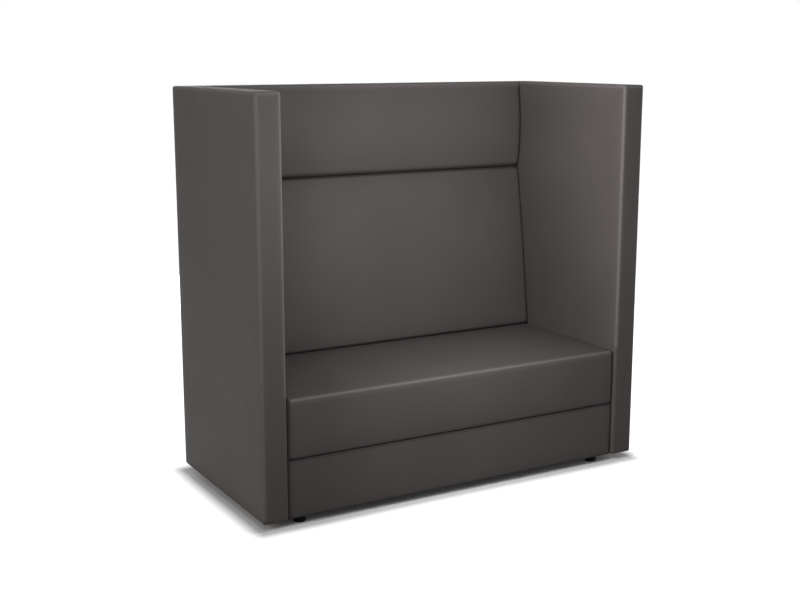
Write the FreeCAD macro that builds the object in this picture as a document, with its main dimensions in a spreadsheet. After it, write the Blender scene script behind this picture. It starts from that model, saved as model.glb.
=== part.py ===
import FreeCAD, Part
import math
import os
from types import SimpleNamespace

import Sketcher

# A two-seat acoustic booth settee: tall padded side panels, a back with a crowned head pad over a
# leaning lumbar cushion, a block seat and an upholstered plinth on four swivelling levelling feet.
# The origin is on the floor under the middle of the footprint. +Z is up and the front faces -Y.
# Every size is in millimetres unless its note says otherwise.

SIZES = [
    ("overall_width", 1460, "over both side panels"),
    ("overall_depth", 690, "front to rear of the side panels"),
    ("overall_height", 1350, "floor to the top of the side panels"),
    ("floor_gap", 25, "floor to the underside of the upholstery"),
    ("side_thickness", 85, "one side panel over its covers"),
    ("seat_top", 413, "floor to the flat rear part of the seat"),
    ("plinth_top", 218, "floor to the seam between plinth and seat"),
    ("front_recess", 8, "seat and plinth fronts behind the side panels' front edges"),
    ("fit_gap", 0.5, "between one upholstered unit and the next"),
    ("cover_thickness", 1.5, "upholstery cover"),
    ("hem_width", 18, "cover turned in and stapled under a unit"),
    ("side_edge_radius", 8, "rounded edges of a side panel"),
    ("side_foam", 10, "foam jacket of a side panel"),
    ("skin_board", 4, "thin board on a frame"),
    ("side_stile", 45, "width of a side panel's stile"),
    ("side_rail", 45, "height of a side panel's plain rail"),
    ("fixing_rail", 70, "height of a side panel's rail that takes the unit bolts"),
    ("mid_rail_height", 745, "floor to the middle of the side panel's middle rail"),
    ("bolt_radius", 4, "unit bolt"),
    ("bolt_slack", 0.5, "clearance round a bolt or stud, round its washer and at its tip"),
    ("bolt_head_radius", 6.5, "socket cap head"),
    ("bolt_head", 8, "height of the socket cap head"),
    ("bolt_socket", 6, "across the flats of the socket"),
    ("bolt_washer_radius", 12, "washer under the head"),
    ("bolt_washer", 1.6, "washer thickness"),
    ("insert_radius", 6, "threaded insert in the side frame"),
    ("insert_length", 22, "threaded insert in the side frame"),
    ("bolt_front", 200, "front unit bolts ahead of the middle"),
    ("bolt_rear", 150, "rear unit bolts behind the middle"),
    ("plinth_bolt_height", 120, "floor to the plinth's side bolts"),
    ("seat_bolt_height", 258, "floor to the seat's side bolts"),
    ("back_bolt_low", 480, "floor to the back's lowest side bolt"),
    ("back_bolt_mid", 860, "floor to the back's middle side bolt"),
    ("back_bolt_high", 1220, "floor to the back's highest side bolt"),
    ("back_foam", 8, "foam on the rear and top of the back"),
    ("back_edge_radius", 4, "rounded rear edges of the back"),
    ("back_frame", 38, "depth of the back's timbers"),
    ("back_stile", 45, "width of the back's uprights"),
    ("back_rail", 45, "height of the back's rails"),
    ("back_upright_offset", 215, "middle of the back to the middle of an upright"),
    ("front_board", 6, "plywood on the front of the back frame"),
    ("crease_height", 1026, "floor to the crease between head pad and lumbar cushion"),
    ("crease_depth", 81.5, "rear of the back to the front at the crease"),
    ("head_top_depth", 77, "rear of the back to the front at the top"),
    ("head_crown", 15, "head pad's arch between crease and top"),
    ("head_swell", 4, "extra arch of the head pad in mid width"),
    ("head_edge_radius", 7, "rounded edges of the head pad"),
    ("lumbar_foot_depth", 167, "rear of the back to the front at the seat"),
    ("lumbar_crown", 2, "lumbar cushion's arch at its ends"),
    ("lumbar_swell", 5, "extra arch of the lumbar cushion in mid width"),
    ("lumbar_edge_radius", 5, "rounded edges of the lumbar cushion"),
    ("lumbar_board", 4, "board under the lumbar foam, measured front to back"),
    ("rib_count", 5, "lumbar ribs, a count"),
    ("rib_thickness", 18, "plywood rib"),
    ("rib_end_gap", 20, "cover to the outermost ribs"),
    ("rib_nose", 8, "depth of a rib at its top"),
    ("batten_height", 45, "lumbar batten"),
    ("batten_depth", 12, "lumbar batten, front to back"),
    ("batten_count", 3, "lumbar battens, a count"),
    ("batten_low", 450, "floor to the underside of the lowest batten"),
    ("batten_pitch", 170, "one batten to the next"),
    ("rib_hole_radius", 16, "lowest lightening hole in a rib"),
    ("rib_hole_taper", 5.6, "radius of a lightening hole less the radius of the next one up"),
    ("seat_front_crown", 2, "seat front's arch at its ends"),
    ("seat_front_swell", 6, "extra arch of the seat front in mid width"),
    ("seat_top_crown", 2, "seat top's arch at its ends"),
    ("seat_top_swell", 5, "extra arch of the seat top in mid width"),
    ("seat_edge_radius", 13, "rounded top edges and front corners of the seat"),
    ("seat_seam_radius", 3, "rounded lower front edge of the seat"),
    ("seat_rail", 22, "thickness of seat and plinth rails"),
    ("seat_rail_height", 70, "height of the seat rails"),
    ("seat_edge_foam", 15, "foam on the seat's front rail"),
    ("seat_cross_drop", 20, "seat cross rail below the webbing"),
    ("cross_rail_offset", 215, "middle of the settee to a cross rail"),
    ("corner_block", 45, "leg of a triangular corner block"),
    ("webbing_width", 60, "elastic webbing strap"),
    ("webbing_thickness", 1.6, "elastic webbing strap"),
    ("webbing_clear", 0.2, "between straps where they cross"),
    ("webbing_gap_least", 38, "least gap between neighbouring straps"),
    ("webbing_bearing", 16, "strap's hold on a rail"),
    ("dowel_radius", 5, "dowel between plinth and seat"),
    ("dowel_length", 40, "dowel between plinth and seat"),
    ("dowel_offset", 400, "middle of the settee to a dowel"),
    ("plinth_edge_radius", 5, "rounded edges of the plinth"),
    ("plinth_foam", 6, "foam on the plinth front"),
    ("bottom_lining", 0.8, "black cloth under the plinth"),
    ("foot_radius", 20, "swivelling foot pad"),
    ("foot_inset_side", 59, "side panel's inner face to a foot's middle"),
    ("foot_inset_front", 42, "plinth front to a front foot's middle"),
    ("foot_seat_gap", 0.3, "foot pad's top to the lining when screwed right in"),
    ("foot_bevel", 1.5, "bevel round the pad's base"),
    ("foot_block", 70, "side of a square foot block"),
    ("foot_block_height", 30, "foot block"),
    ("stud_radius", 4, "levelling stud"),
    ("stud_length", 46, "stud above its flange"),
    ("stud_flange_radius", 9, "flange that swivels in the pad"),
    ("stud_flange", 4.4, "thickness of the flange"),
    ("stud_chamfer", 0.5, "chamfer at the stud's tip"),
    ("stud_socket", 5, "across the flats of the key socket in the flange"),
    ("swivel_slack", 0.3, "flange to its pocket in the pad"),
    ("pad_floor", 6, "pad thickness under the flange"),
    ("thread_slack", 0.05, "stud to tee nut bore"),
    ("tee_flange_radius", 11, "tee nut flange"),
    ("tee_flange", 1.5, "tee nut flange"),
    ("tee_barrel_radius", 5.2, "tee nut barrel"),
    ("tee_barrel", 12, "tee nut barrel"),
]

doc = FreeCAD.newDocument("BoothSettee")
sheet = doc.addObject("Spreadsheet::Sheet", "Sizes")
for row, (alias, amount, note) in enumerate(SIZES, start=1):
    sheet.set("A%d" % row, alias)
    sheet.set("B%d" % row, str(amount))
    sheet.set("C%d" % row, note)
    sheet.setAlias("B%d" % row, alias)
doc.recompute()


class Size:
    """A length that keeps its value beside the formula that ties it to the sheet."""

    def __init__(self, text, value):
        self.text = text
        self.value = float(value)

    def joined(self, sign, other, value):
        other_text = other.text if isinstance(other, Size) else repr(other)
        return Size("(%s %s %s)" % (self.text, sign, other_text), value)

    def __add__(self, other):
        return self.joined("+", other, self.value + amount_of(other))

    def __sub__(self, other):
        return self.joined("-", other, self.value - amount_of(other))

    def __mul__(self, other):
        return self.joined("*", other, self.value * amount_of(other))

    def __truediv__(self, other):
        return self.joined("/", other, self.value / amount_of(other))

    def __neg__(self):
        return self * -1


def amount_of(length):
    return length.value if isinstance(length, Size) else length


def root(length):
    return Size("sqrt(%s)" % length.text, math.sqrt(length.value))


mm = SimpleNamespace(**{alias: Size("Sizes." + alias, sheet.get(alias)) for alias, _, _ in SIZES})

# Planes that several pieces share, worked out from the sheet.
left = -mm.overall_width / 2
front = -mm.overall_depth / 2
rear = mm.overall_depth / 2
base = mm.floor_gap
top = mm.overall_height
cover = mm.cover_thickness
bay_half = mm.overall_width / 2 - mm.side_thickness - mm.fit_gap
inside_half = bay_half - cover
unit_front = front + mm.front_recess
back_rear_board = rear - cover - mm.back_foam
back_frame_rear = back_rear_board - mm.skin_board
back_frame_front = back_frame_rear - mm.back_frame
back_face = back_frame_front - mm.front_board
unit_rear = back_face - mm.fit_gap
back_timber_top = top - cover - mm.back_foam
seat_base = mm.plinth_top + mm.fit_gap / 2
plinth_lid = mm.plinth_top - mm.fit_gap / 2
beyond = 1.0  # how far a cutting tool reaches past the face it opens
ROUNDING_STEPS = 3  # flats along a cushion's rounded end
CORNER_ARCH = 1 - math.sqrt(0.5)  # how far a square corner's rounding swells, as a share of its radius
TOUCH = 0.5  # how far from a plane an edge's middle may be and still belong to it


# Helpers

def bind(thing, prop, length):
    thing.setExpression(prop, length.text)


def block(name, x, y, z):
    """A squared piece between a low and a high plane on each axis."""
    piece = doc.addObject("Part::Box", name)
    for prop, axis, (low, high) in (("Length", "x", x), ("Width", "y", y), ("Height", "z", z)):
        bind(piece, prop, high - low)
        bind(piece, "Placement.Base." + axis, low)
    return piece


TURNS = {
    "x": FreeCAD.Rotation(FreeCAD.Vector(0, 1, 0), 90),
    "y": FreeCAD.Rotation(FreeCAD.Vector(1, 0, 0), -90),
    "z": FreeCAD.Rotation(),
}


def rod(name, axis, start, radius, length):
    """A cylinder from its start point along +x, +y or +z."""
    piece = doc.addObject("Part::Cylinder", name)
    piece.Placement = FreeCAD.Placement(FreeCAD.Vector(), TURNS[axis])
    bind(piece, "Radius", radius)
    bind(piece, "Height", length)
    for letter, place in zip("xyz", start):
        bind(piece, "Placement.Base." + letter, place)
    return piece


def group(name, pieces):
    """Separate solids kept together."""
    together = doc.addObject("Part::Compound", name)
    together.Links = pieces
    return together


def carve(name, solid, tools):
    """The solid less one tool after another; tools may themselves be groups of separate solids."""
    for number, tool in enumerate(tools, start=1):
        step = doc.addObject("Part::Cut", "%s_carve%d" % (name, number))
        step.Base = solid
        step.Tool = tool
        solid = step
    return solid


def shared(name, solid, other):
    """What two solids have in common."""
    overlap = doc.addObject("Part::Common", name)
    overlap.Base = solid
    overlap.Tool = other
    return overlap


def mirrored(name, source):
    """The same piece on the other side of the middle plane x = 0."""
    twin = doc.addObject("Part::Mirroring", name)
    twin.Source = source
    twin.Base = FreeCAD.Vector(0, 0, 0)
    twin.Normal = FreeCAD.Vector(1, 0, 0)
    return twin


def both(name, source):
    """A piece and its mirror image in one group."""
    return group(name, [source, mirrored(name + "_twin", source)])


def origin_plane(body, role):
    for feature in body.Origin.OriginFeatures:
        if feature.Role == role:
            return feature


def sketch_on(body, name, role, offset=None):
    """An empty sketch on one of the body's origin planes, moved along the plane's normal."""
    sketch = body.newObject("Sketcher::SketchObject", name)
    sketch.AttachmentSupport = (origin_plane(body, role), [""])
    sketch.MapMode = "FlatFace"
    if offset is not None:
        bind(sketch, "AttachmentOffset.Base.z", offset)
    return sketch


def hold(sketch, constraint, length):
    """Add a constraint and tie its value to a formula."""
    index = sketch.addConstraint(constraint)
    sketch.setExpression("Constraints[%d]" % index, length.text)


def pin(sketch, edge, point, across, up):
    """Hold one point of an edge at a place measured from the sketch's origin."""
    hold(sketch, Sketcher.Constraint("DistanceX", -1, 1, edge, point, across.value), across)
    hold(sketch, Sketcher.Constraint("DistanceY", -1, 1, edge, point, up.value), up)


def circle(sketch, across, up, radius):
    ring = Part.Circle(FreeCAD.Vector(across.value, up.value, 0), FreeCAD.Vector(0, 0, 1), radius.value)
    edge = sketch.addGeometry(ring)
    pin(sketch, edge, 3, across, up)
    hold(sketch, Sketcher.Constraint("Radius", edge, radius.value), radius)


def outline(sketch, corners, arches=None):
    """A closed outline through corners taken anticlockwise, each (across, up).

    arches says, for the edge after a corner, how far that edge swells outwards as an arc.
    """
    arches = arches or {}
    count = len(corners)
    for number, (across, up) in enumerate(corners):
        next_across, next_up = corners[(number + 1) % count]
        start = FreeCAD.Vector(across.value, up.value, 0)
        end = FreeCAD.Vector(next_across.value, next_up.value, 0)
        arch = arches.get(number)
        if arch is None:
            edge = sketch.addGeometry(Part.LineSegment(start, end))
        else:
            run = next_across - across
            climb = next_up - up
            chord = root(run * run + climb * climb)
            radius = (chord * chord / 4 + arch * arch) / (arch * 2)
            outwards = FreeCAD.Vector(climb.value, -run.value, 0) / chord.value
            centre = (start + end) / 2 - outwards * (radius.value - arch.value)
            turn = FreeCAD.Vector(0, 0, 1)
            ring = Part.Circle(centre, turn, radius.value)
            first = math.atan2(start.y - centre.y, start.x - centre.x)
            last = math.atan2(end.y - centre.y, end.x - centre.x)
            if last < first:
                last += 2 * math.pi
            edge = sketch.addGeometry(Part.ArcOfCircle(ring, first, last))
            hold(sketch, Sketcher.Constraint("Radius", edge, radius.value), radius)
        pin(sketch, edge, 1, across, up)
    for number in range(count):
        following = (number + 1) % count
        sketch.addConstraint(Sketcher.Constraint("Coincident", number, 2, following, 1))


def drawn(name, role, low, high, corners, arches=None, holes=()):
    """An outline drawn on an origin plane and padded from one offset to another along its normal."""
    body = doc.addObject("PartDesign::Body", name)
    sketch = sketch_on(body, name + "_outline", role, low)
    outline(sketch, corners, arches)
    for across, up, radius in holes:
        circle(sketch, across, up, radius)
    pad = body.newObject("PartDesign::Pad", name + "_pad")
    pad.Profile = sketch
    bind(pad, "Length", high - low)
    return body


def edges_where(feature, test):
    """Names of a feature's edges whose middle point passes a test."""
    doc.recompute()
    names = []
    for number, edge in enumerate(feature.Shape.Edges, start=1):
        middle = edge.valueAt((edge.FirstParameter + edge.LastParameter) / 2)
        if test(middle):
            names.append("Edge%d" % number)
    return names


def round_edges(body, name, base_feature, radius, test=None):
    """Round a feature's edges, all of them or those whose middle point passes a test."""
    fillet = body.newObject("PartDesign::Fillet", name)
    if test is None:
        fillet.Base = (base_feature, ["Edge1"])
        fillet.UseAllEdges = True
    else:
        fillet.Base = (base_feature, edges_where(base_feature, test))
    bind(fillet, "Radius", radius)
    return fillet


def rounded_block(name, x, y, z, radius, test=None):
    """A squared body with rounded edges."""
    body = doc.addObject("PartDesign::Body", name)
    solid = body.newObject("PartDesign::AdditiveBox", name + "_solid")
    for prop, axis, (low, high) in (("Length", "x", x), ("Width", "y", y), ("Height", "z", z)):
        bind(solid, prop, high - low)
        bind(solid, "Placement.Base." + axis, low)
    round_edges(body, name + "_rounding", solid, radius, test)
    return body


def crowned(name, half, radius, section):
    """A cushion lofted across its width, fuller in the middle, with its ends rounded off.

    section(swell, draw) gives the corners and arches of one section. swell is 1 in mid width and 0
    towards the ends, and draw is how far the section has drawn in where the end rounds off.
    """
    body = doc.addObject("PartDesign::Body", name)

    def station(label, offset, swell, draw):
        sketch = sketch_on(body, "%s_%s" % (name, label), "YZ_Plane", offset)
        outline(sketch, *section(swell, draw))
        return sketch

    def loft(label, stations, ruled):
        feature = body.newObject("PartDesign::AdditiveLoft", "%s_%s_loft" % (name, label))
        feature.Profile = stations[0]
        feature.Sections = stations[1:]
        feature.Ruled = ruled

    flat = half - radius
    nought = radius * 0
    loft("middle", [station("left", -flat, 0, nought), station("centre", None, 1, nought),
                    station("right", flat, 0, nought)], False)
    for label, side in (("left_end", -1), ("right_end", 1)):
        stations = []
        for step in range(ROUNDING_STEPS + 1):
            angle = math.radians(90 * step / ROUNDING_STEPS)
            offset = (flat + radius * math.sin(angle)) * side
            stations.append(station("%s_%d" % (label, step), offset, 0, radius * (1 - math.cos(angle))))
        loft(label, stations, True)
    return body


def near(value, plane):
    return abs(value - plane.value) < TOUCH


nodes = []


def finish(name, piece):
    """Give a sub-part the name that its file takes."""
    piece.Label = name
    nodes.append(piece)
    return piece


# Unit bolts: places where plinth, seat and back are bolted to a side panel, each (y, z)

back_bolt_plane = (back_frame_front + back_frame_rear) / 2
PLINTH_BOLTS = [(-mm.bolt_front, mm.plinth_bolt_height), (mm.bolt_rear, mm.plinth_bolt_height)]
SEAT_BOLTS = [(-mm.bolt_front, mm.seat_bolt_height), (mm.bolt_rear, mm.seat_bolt_height)]
back_bolt_heights = (mm.back_bolt_low, mm.back_bolt_mid, mm.back_bolt_high)
BACK_BOLTS = [(back_bolt_plane, height) for height in back_bolt_heights]

side_skin = cover + mm.side_foam
side_frame_outer = left + side_skin + mm.skin_board
side_frame_inner = left + mm.side_thickness - side_skin - mm.skin_board
head_seat = -inside_half + mm.seat_rail
insert_end = side_frame_inner - mm.insert_length
shank_end = insert_end + mm.bolt_slack


def bores(name, places, start, end, radius):
    """Cutting tools for a row of holes that run across the settee at the left-hand side."""
    tools = []
    for number, (y, z) in enumerate(places):
        tools.append(rod("%s_%d" % (name, number), "x", (start, y, z), radius, end - start))
    return group(name, tools)


def bolt_holes(name, places):
    return bores(name, places, insert_end, head_seat + beyond, mm.bolt_radius + mm.bolt_slack)


def bolt(name, y, z):
    """A socket cap bolt with its washer's bearing face on the inside of a unit's end rail."""
    body = doc.addObject("PartDesign::Body", name)
    sketch = sketch_on(body, name + "_half", "XZ_Plane")
    washer_top = head_seat + mm.bolt_washer
    head_top = washer_top + mm.bolt_head
    nought = mm.bolt_radius * 0
    outline(sketch, [(shank_end, nought), (head_top, nought), (head_top, mm.bolt_head_radius),
                     (washer_top, mm.bolt_head_radius), (washer_top, mm.bolt_washer_radius),
                     (head_seat, mm.bolt_washer_radius), (head_seat, mm.bolt_radius),
                     (shank_end, mm.bolt_radius)])
    turned = body.newObject("PartDesign::Revolution", name + "_turned")
    turned.Profile = sketch
    turned.ReferenceAxis = (sketch, ["H_Axis"])
    turned.Angle = 360
    socket = sketch_on(body, name + "_socket_outline", "YZ_Plane", head_top)
    hexagon(socket, mm.bolt_socket)
    pocket = body.newObject("PartDesign::Pocket", name + "_socket")
    pocket.Profile = socket
    bind(pocket, "Length", mm.bolt_head / 2)
    bind(body, "Placement.Base.y", y)
    bind(body, "Placement.Base.z", z)
    return body


def hexagon(sketch, across_flats):
    """A hexagon round the sketch's origin."""
    reach = across_flats / math.sqrt(3)
    corners = []
    for number in range(6):
        angle = math.radians(60 * number + 30)
        corners.append((reach * round(math.cos(angle), 9), reach * round(math.sin(angle), 9)))
    outline(sketch, corners)


def side_bolts(name, places):
    """The bolts of one unit, left and right."""
    row = group(name + "_left", [
        bolt("%s_%d" % (name, number), y, z) for number, (y, z) in enumerate(places)
    ])
    return finish(name, both(name, row))


# Side panels: the left one is built and the right one mirrors it, piece by piece

def side_panel():
    frame_x = (side_frame_outer, side_frame_inner)
    frame_front = front + side_skin
    frame_rear = rear - side_skin
    frame_base = base + cover
    frame_top = top - side_skin
    rail_y = (frame_front + mm.side_stile, frame_rear - mm.side_stile)
    all_bolts = PLINTH_BOLTS + SEAT_BOLTS + BACK_BOLTS
    sockets = bores("insert_sockets", all_bolts, insert_end, side_frame_inner, mm.insert_radius)
    holes = bolt_holes("side_bolt_holes", all_bolts)

    stiles = group("side_stiles_plain", [
        block("side_front_stile", frame_x, (frame_front, rail_y[0]), (frame_base, frame_top)),
        block("side_rear_stile", frame_x, (rail_y[1], frame_rear), (frame_base, frame_top)),
    ])
    plinth_rail = (mm.plinth_bolt_height - mm.fixing_rail / 2, mm.plinth_bolt_height + mm.fixing_rail / 2)
    seat_rail = (mm.seat_bolt_height - mm.fixing_rail / 2, mm.seat_bolt_height + mm.fixing_rail / 2)
    mid_rail = (mm.mid_rail_height - mm.side_rail / 2, mm.mid_rail_height + mm.side_rail / 2)
    levels = [(frame_base, frame_base + mm.side_rail), plinth_rail, seat_rail, mid_rail,
              (frame_top - mm.side_rail, frame_top)]
    rails = group("side_rails_plain", [
        block("side_rail_%d" % number, frame_x, rail_y, level) for number, level in enumerate(levels)
    ])
    slabs = group("side_infill", [
        block("side_slab_low", frame_x, rail_y, (seat_rail[1], mid_rail[0])),
        block("side_slab_high", frame_x, rail_y, (mid_rail[1], levels[-1][0])),
    ])
    board_y = (frame_front, frame_rear)
    board_z = (frame_base, frame_top)
    outer_board = block("side_outer_board", (left + side_skin, side_frame_outer), board_y, board_z)
    inner_board = block("side_inner_board_plain", (side_frame_inner, side_frame_inner + mm.skin_board),
                        board_y, board_z)
    jacket = rounded_block("side_jacket", (left + cover, left + mm.side_thickness - cover),
                           (front + cover, rear - cover), (base + cover, top - cover),
                           mm.side_edge_radius - cover)
    core = block("side_core", (left + side_skin, left + mm.side_thickness - side_skin),
                 board_y, (base - beyond, frame_top))
    skin = rounded_block("side_skin", (left, left + mm.side_thickness), (front, rear), (base, top),
                         mm.side_edge_radius)
    mouth = block("side_mouth", (left + mm.hem_width, left + mm.side_thickness - mm.hem_width),
                  (front + mm.hem_width, rear - mm.hem_width), (base - beyond, base + cover + beyond))
    pieces = {
        "side_stiles": carve("side_stiles", stiles, [sockets]),
        "side_rails": carve("side_rails", rails, [sockets]),
        "side_infill": slabs,
        "side_outer_board": outer_board,
        "side_inner_board": carve("side_inner_board", inner_board, [holes]),
        "side_foam": carve("side_foam", jacket, [core, holes]),
        "side_cover": carve("side_cover", skin, [jacket, mouth, holes]),
        "side_inserts": group("side_inserts", [
            carve("side_insert_%d" % number,
                  rod("side_insert_body_%d" % number, "x", (insert_end, y, z), mm.insert_radius,
                      mm.insert_length),
                  [rod("side_insert_bore_%d" % number, "x", (insert_end - beyond, y, z), mm.bolt_radius,
                       mm.insert_length + beyond * 2)])
            for number, (y, z) in enumerate(all_bolts)
        ]),
    }
    for name, piece in pieces.items():
        finish("left_" + name, piece)
        finish("right_" + name, mirrored("right_" + name, piece))


# Back panel: timber frame between a rear board and a front board, with foam and cover behind

def back_panel():
    holes = both("back_bolt_holes_both", bolt_holes("back_bolt_holes", BACK_BOLTS))
    head_wells = both("back_bolt_wells_both", bores(
        "back_bolt_wells", BACK_BOLTS, head_seat, -inside_half + mm.back_stile + beyond,
        mm.bolt_washer_radius + mm.bolt_slack))
    frame_y = (back_frame_front, back_frame_rear)
    frame_base = base + cover
    full_x = (-inside_half, inside_half)
    rail_x = (-inside_half + mm.back_stile, inside_half - mm.back_stile)
    stile = block("back_stile_left", (full_x[0], rail_x[0]), frame_y, (frame_base, back_timber_top))
    finish("back_stiles", carve("back_stiles", both("back_stiles_plain", stile), [holes, head_wells]))

    low_level = (frame_base, frame_base + mm.back_rail)
    seat_level = (mm.seat_top - mm.back_rail, mm.seat_top)
    crease_level = (mm.crease_height - mm.back_rail / 2, mm.crease_height + mm.back_rail / 2)
    top_level = (back_timber_top - mm.back_rail, back_timber_top)
    finish("back_rails", group("back_rails", [
        block("back_rail_%d" % number, rail_x, frame_y, level)
        for number, level in enumerate((low_level, seat_level, crease_level, top_level))
    ]))

    bays = [(seat_level[1], crease_level[0]), (crease_level[1], top_level[0])]
    upright_x = (-mm.back_upright_offset - mm.back_stile / 2, -mm.back_upright_offset + mm.back_stile / 2)
    uprights = []
    slabs = []
    for number, bay in enumerate(bays):
        uprights.append(both("back_upright_pair_%d" % number,
                             block("back_upright_%d" % number, upright_x, frame_y, bay)))
        slabs.append(both("back_slab_pair_%d" % number,
                          block("back_slab_%d" % number, (rail_x[0], upright_x[0]), frame_y, bay)))
        slabs.append(block("back_slab_mid_%d" % number, (upright_x[1], -upright_x[1]), frame_y, bay))
    finish("back_uprights", group("back_uprights", uprights))
    finish("back_infill", carve("back_infill", group("back_infill_plain", slabs), [head_wells]))

    board_z = (frame_base, back_timber_top)
    finish("back_front_board", block("back_front_board", full_x, (back_face, back_frame_front), board_z))
    finish("back_rear_board", block("back_rear_board", full_x, (back_frame_rear, back_rear_board), board_z))
    fold = [(back_rear_board, frame_base), (rear - cover, frame_base), (rear - cover, top - cover),
            (back_face, top - cover), (back_face, back_timber_top), (back_rear_board, back_timber_top)]
    finish("back_rear_foam", drawn("back_rear_foam", "YZ_Plane", *full_x, fold))

    shell = rounded_block("back_shell", (-bay_half, bay_half), (back_face, rear), (base, top),
                          mm.back_edge_radius, lambda middle: near(middle.y, rear))
    hollow = block("back_hollow", full_x, (back_face - beyond, rear - cover), (frame_base, top - cover))
    mouth = block("back_mouth", (-inside_half + mm.hem_width, inside_half - mm.hem_width),
                  (back_face - beyond, rear - cover - mm.hem_width), (base - beyond, frame_base + beyond))
    finish("back_rear_cover", carve("back_rear_cover", shell, [hollow, mouth, holes]))


# Head pad: foam and cover, arched from crease to top and a little fuller in mid width

def head_section(inset):
    """Sections of the head pad, drawn in on all sides but the rear by inset."""
    corner = mm.head_edge_radius - inset

    def section(swell, draw):
        low = mm.crease_height + mm.fit_gap / 2 + inset + draw
        high = top - inset - draw
        high_face = rear - mm.head_top_depth + inset + draw
        low_face = rear - mm.crease_depth + inset + draw
        corners = [(back_face, high), (high_face + corner, high), (high_face, high - corner),
                   (low_face, low + corner), (low_face + corner, low), (back_face, low)]
        arches = {1: corner * CORNER_ARCH, 2: mm.head_crown + mm.head_swell * swell,
                  3: corner * CORNER_ARCH}
        return corners, arches
    return section


def head_pad():
    skin = crowned("head_skin", bay_half, mm.head_edge_radius, head_section(cover * 0))
    foam = crowned("head_filling", inside_half, mm.head_edge_radius - cover, head_section(cover))
    finish("head_foam", foam)
    finish("head_cover", carve("head_cover", skin, [foam]))


# Lumbar cushion: leaning foam on a board, carried by tapered ribs with battens let into them

lumbar_low = mm.seat_top + mm.fit_gap
lumbar_high = mm.crease_height - mm.fit_gap / 2
lumbar_run = mm.lumbar_foot_depth - mm.crease_depth
lumbar_climb = lumbar_high - lumbar_low
board_depth = rear - back_face
board_front_depth = board_depth + mm.lumbar_board


def leaning(depth_at_crease, z):
    """The y of a leaning plane that stands depth_at_crease ahead of the rear at the crease."""
    return rear - depth_at_crease - (lumbar_high - z) * lumbar_run / lumbar_climb


def lumbar_section(inset):
    """Sections of the lumbar cushion, drawn in on all sides but the rear by inset."""
    corner = mm.lumbar_edge_radius - inset

    def section(swell, draw):
        low = lumbar_low + inset
        high = lumbar_high - inset - draw
        depth = mm.crease_depth - inset - draw
        high_face = leaning(depth, high)
        low_face = leaning(depth, low)
        corners = [(back_face, high), (high_face + corner, high),
                   (leaning(depth, high - corner), high - corner),
                   (leaning(depth, low + corner), low + corner), (low_face + corner, low), (back_face, low)]
        arches = {1: corner * CORNER_ARCH, 2: mm.lumbar_crown + mm.lumbar_swell * swell,
                  3: corner * CORNER_ARCH}
        return corners, arches
    return section


def lumbar_cushion():
    skin = crowned("lumbar_skin", bay_half, mm.lumbar_edge_radius, lumbar_section(cover * 0))
    filling = crowned("lumbar_filling", inside_half, mm.lumbar_edge_radius - cover, lumbar_section(cover))
    ribs_space = drawn("lumbar_ribs_space", "YZ_Plane", -bay_half, bay_half, [
        (back_face + beyond, lumbar_high + beyond),
        (leaning(board_front_depth, lumbar_high + beyond), lumbar_high + beyond),
        (leaning(board_front_depth, lumbar_low - beyond), lumbar_low - beyond),
        (back_face + beyond, lumbar_low - beyond)])
    finish("lumbar_cover", carve("lumbar_cover", skin, [filling]))
    finish("lumbar_foam", carve("lumbar_foam", filling, [ribs_space]))

    low = lumbar_low + cover
    high = lumbar_high - cover
    board_half = bay_half - mm.lumbar_edge_radius
    finish("lumbar_board", drawn("lumbar_board", "YZ_Plane", -board_half, board_half, [
        (leaning(board_depth, high), high), (leaning(board_front_depth, high), high),
        (leaning(board_front_depth, low), low), (leaning(board_depth, low), low)]))

    battens = []
    notches = []
    for number in range(int(mm.batten_count.value)):
        foot = mm.batten_low + mm.batten_pitch * number
        head = foot + mm.batten_height
        let_in = board_depth - mm.batten_depth
        corners = [(leaning(board_depth, foot), foot), (leaning(let_in, foot), foot),
                   (leaning(let_in, head), head), (leaning(board_depth, head), head)]
        battens.append(drawn("lumbar_batten_%d" % number, "YZ_Plane", -board_half, board_half, corners))
        notches.append(corners)
    finish("lumbar_battens", group("lumbar_battens", battens))

    nose = lumbar_high - mm.rib_nose * lumbar_climb / lumbar_run
    profile = [(back_face, low), (back_face, nose), (leaning(board_depth, nose), nose)]
    for corners in reversed(notches):
        profile += reversed(corners)
    profile.append((leaning(board_depth, low), low))
    holes = []
    for number in range(int(mm.batten_count.value) - 1):
        height = mm.batten_low + mm.batten_height / 2 + mm.batten_pitch / 2 + mm.batten_pitch * number
        middle = (leaning(board_depth, height) + back_face) / 2
        holes.append((middle, height, mm.rib_hole_radius - mm.rib_hole_taper * number))
    ribs = []
    first = -inside_half + mm.rib_end_gap
    reach = first * -2 - mm.rib_thickness
    for number in range(int(mm.rib_count.value)):
        start = first + reach * number / (mm.rib_count - 1)
        ribs.append(drawn("recline_rib_%d" % number, "YZ_Plane", start, start + mm.rib_thickness,
                          profile, None, holes))
    finish("recline_ribs", group("recline_ribs", ribs))


# Seat and plinth share their box: rails round the edge and cross rails between

box_front = unit_front + cover + mm.seat_edge_foam
box_half = inside_half - mm.seat_rail
cross_x = (-mm.cross_rail_offset - mm.seat_rail / 2, -mm.cross_rail_offset + mm.seat_rail / 2)


def box_rails(name, rails_front, z):
    """Front, rear and end rails of a box."""
    inner_y = (rails_front + mm.seat_rail, unit_rear - mm.seat_rail)
    end_rail = block(name + "_end", (-inside_half, -box_half), inner_y, z)
    return group(name + "_plain", [
        block(name + "_front", (-inside_half, inside_half), (rails_front, inner_y[0]), z),
        block(name + "_rear", (-inside_half, inside_half), (inner_y[1], unit_rear), z),
        both(name + "_ends", end_rail),
    ])


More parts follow.
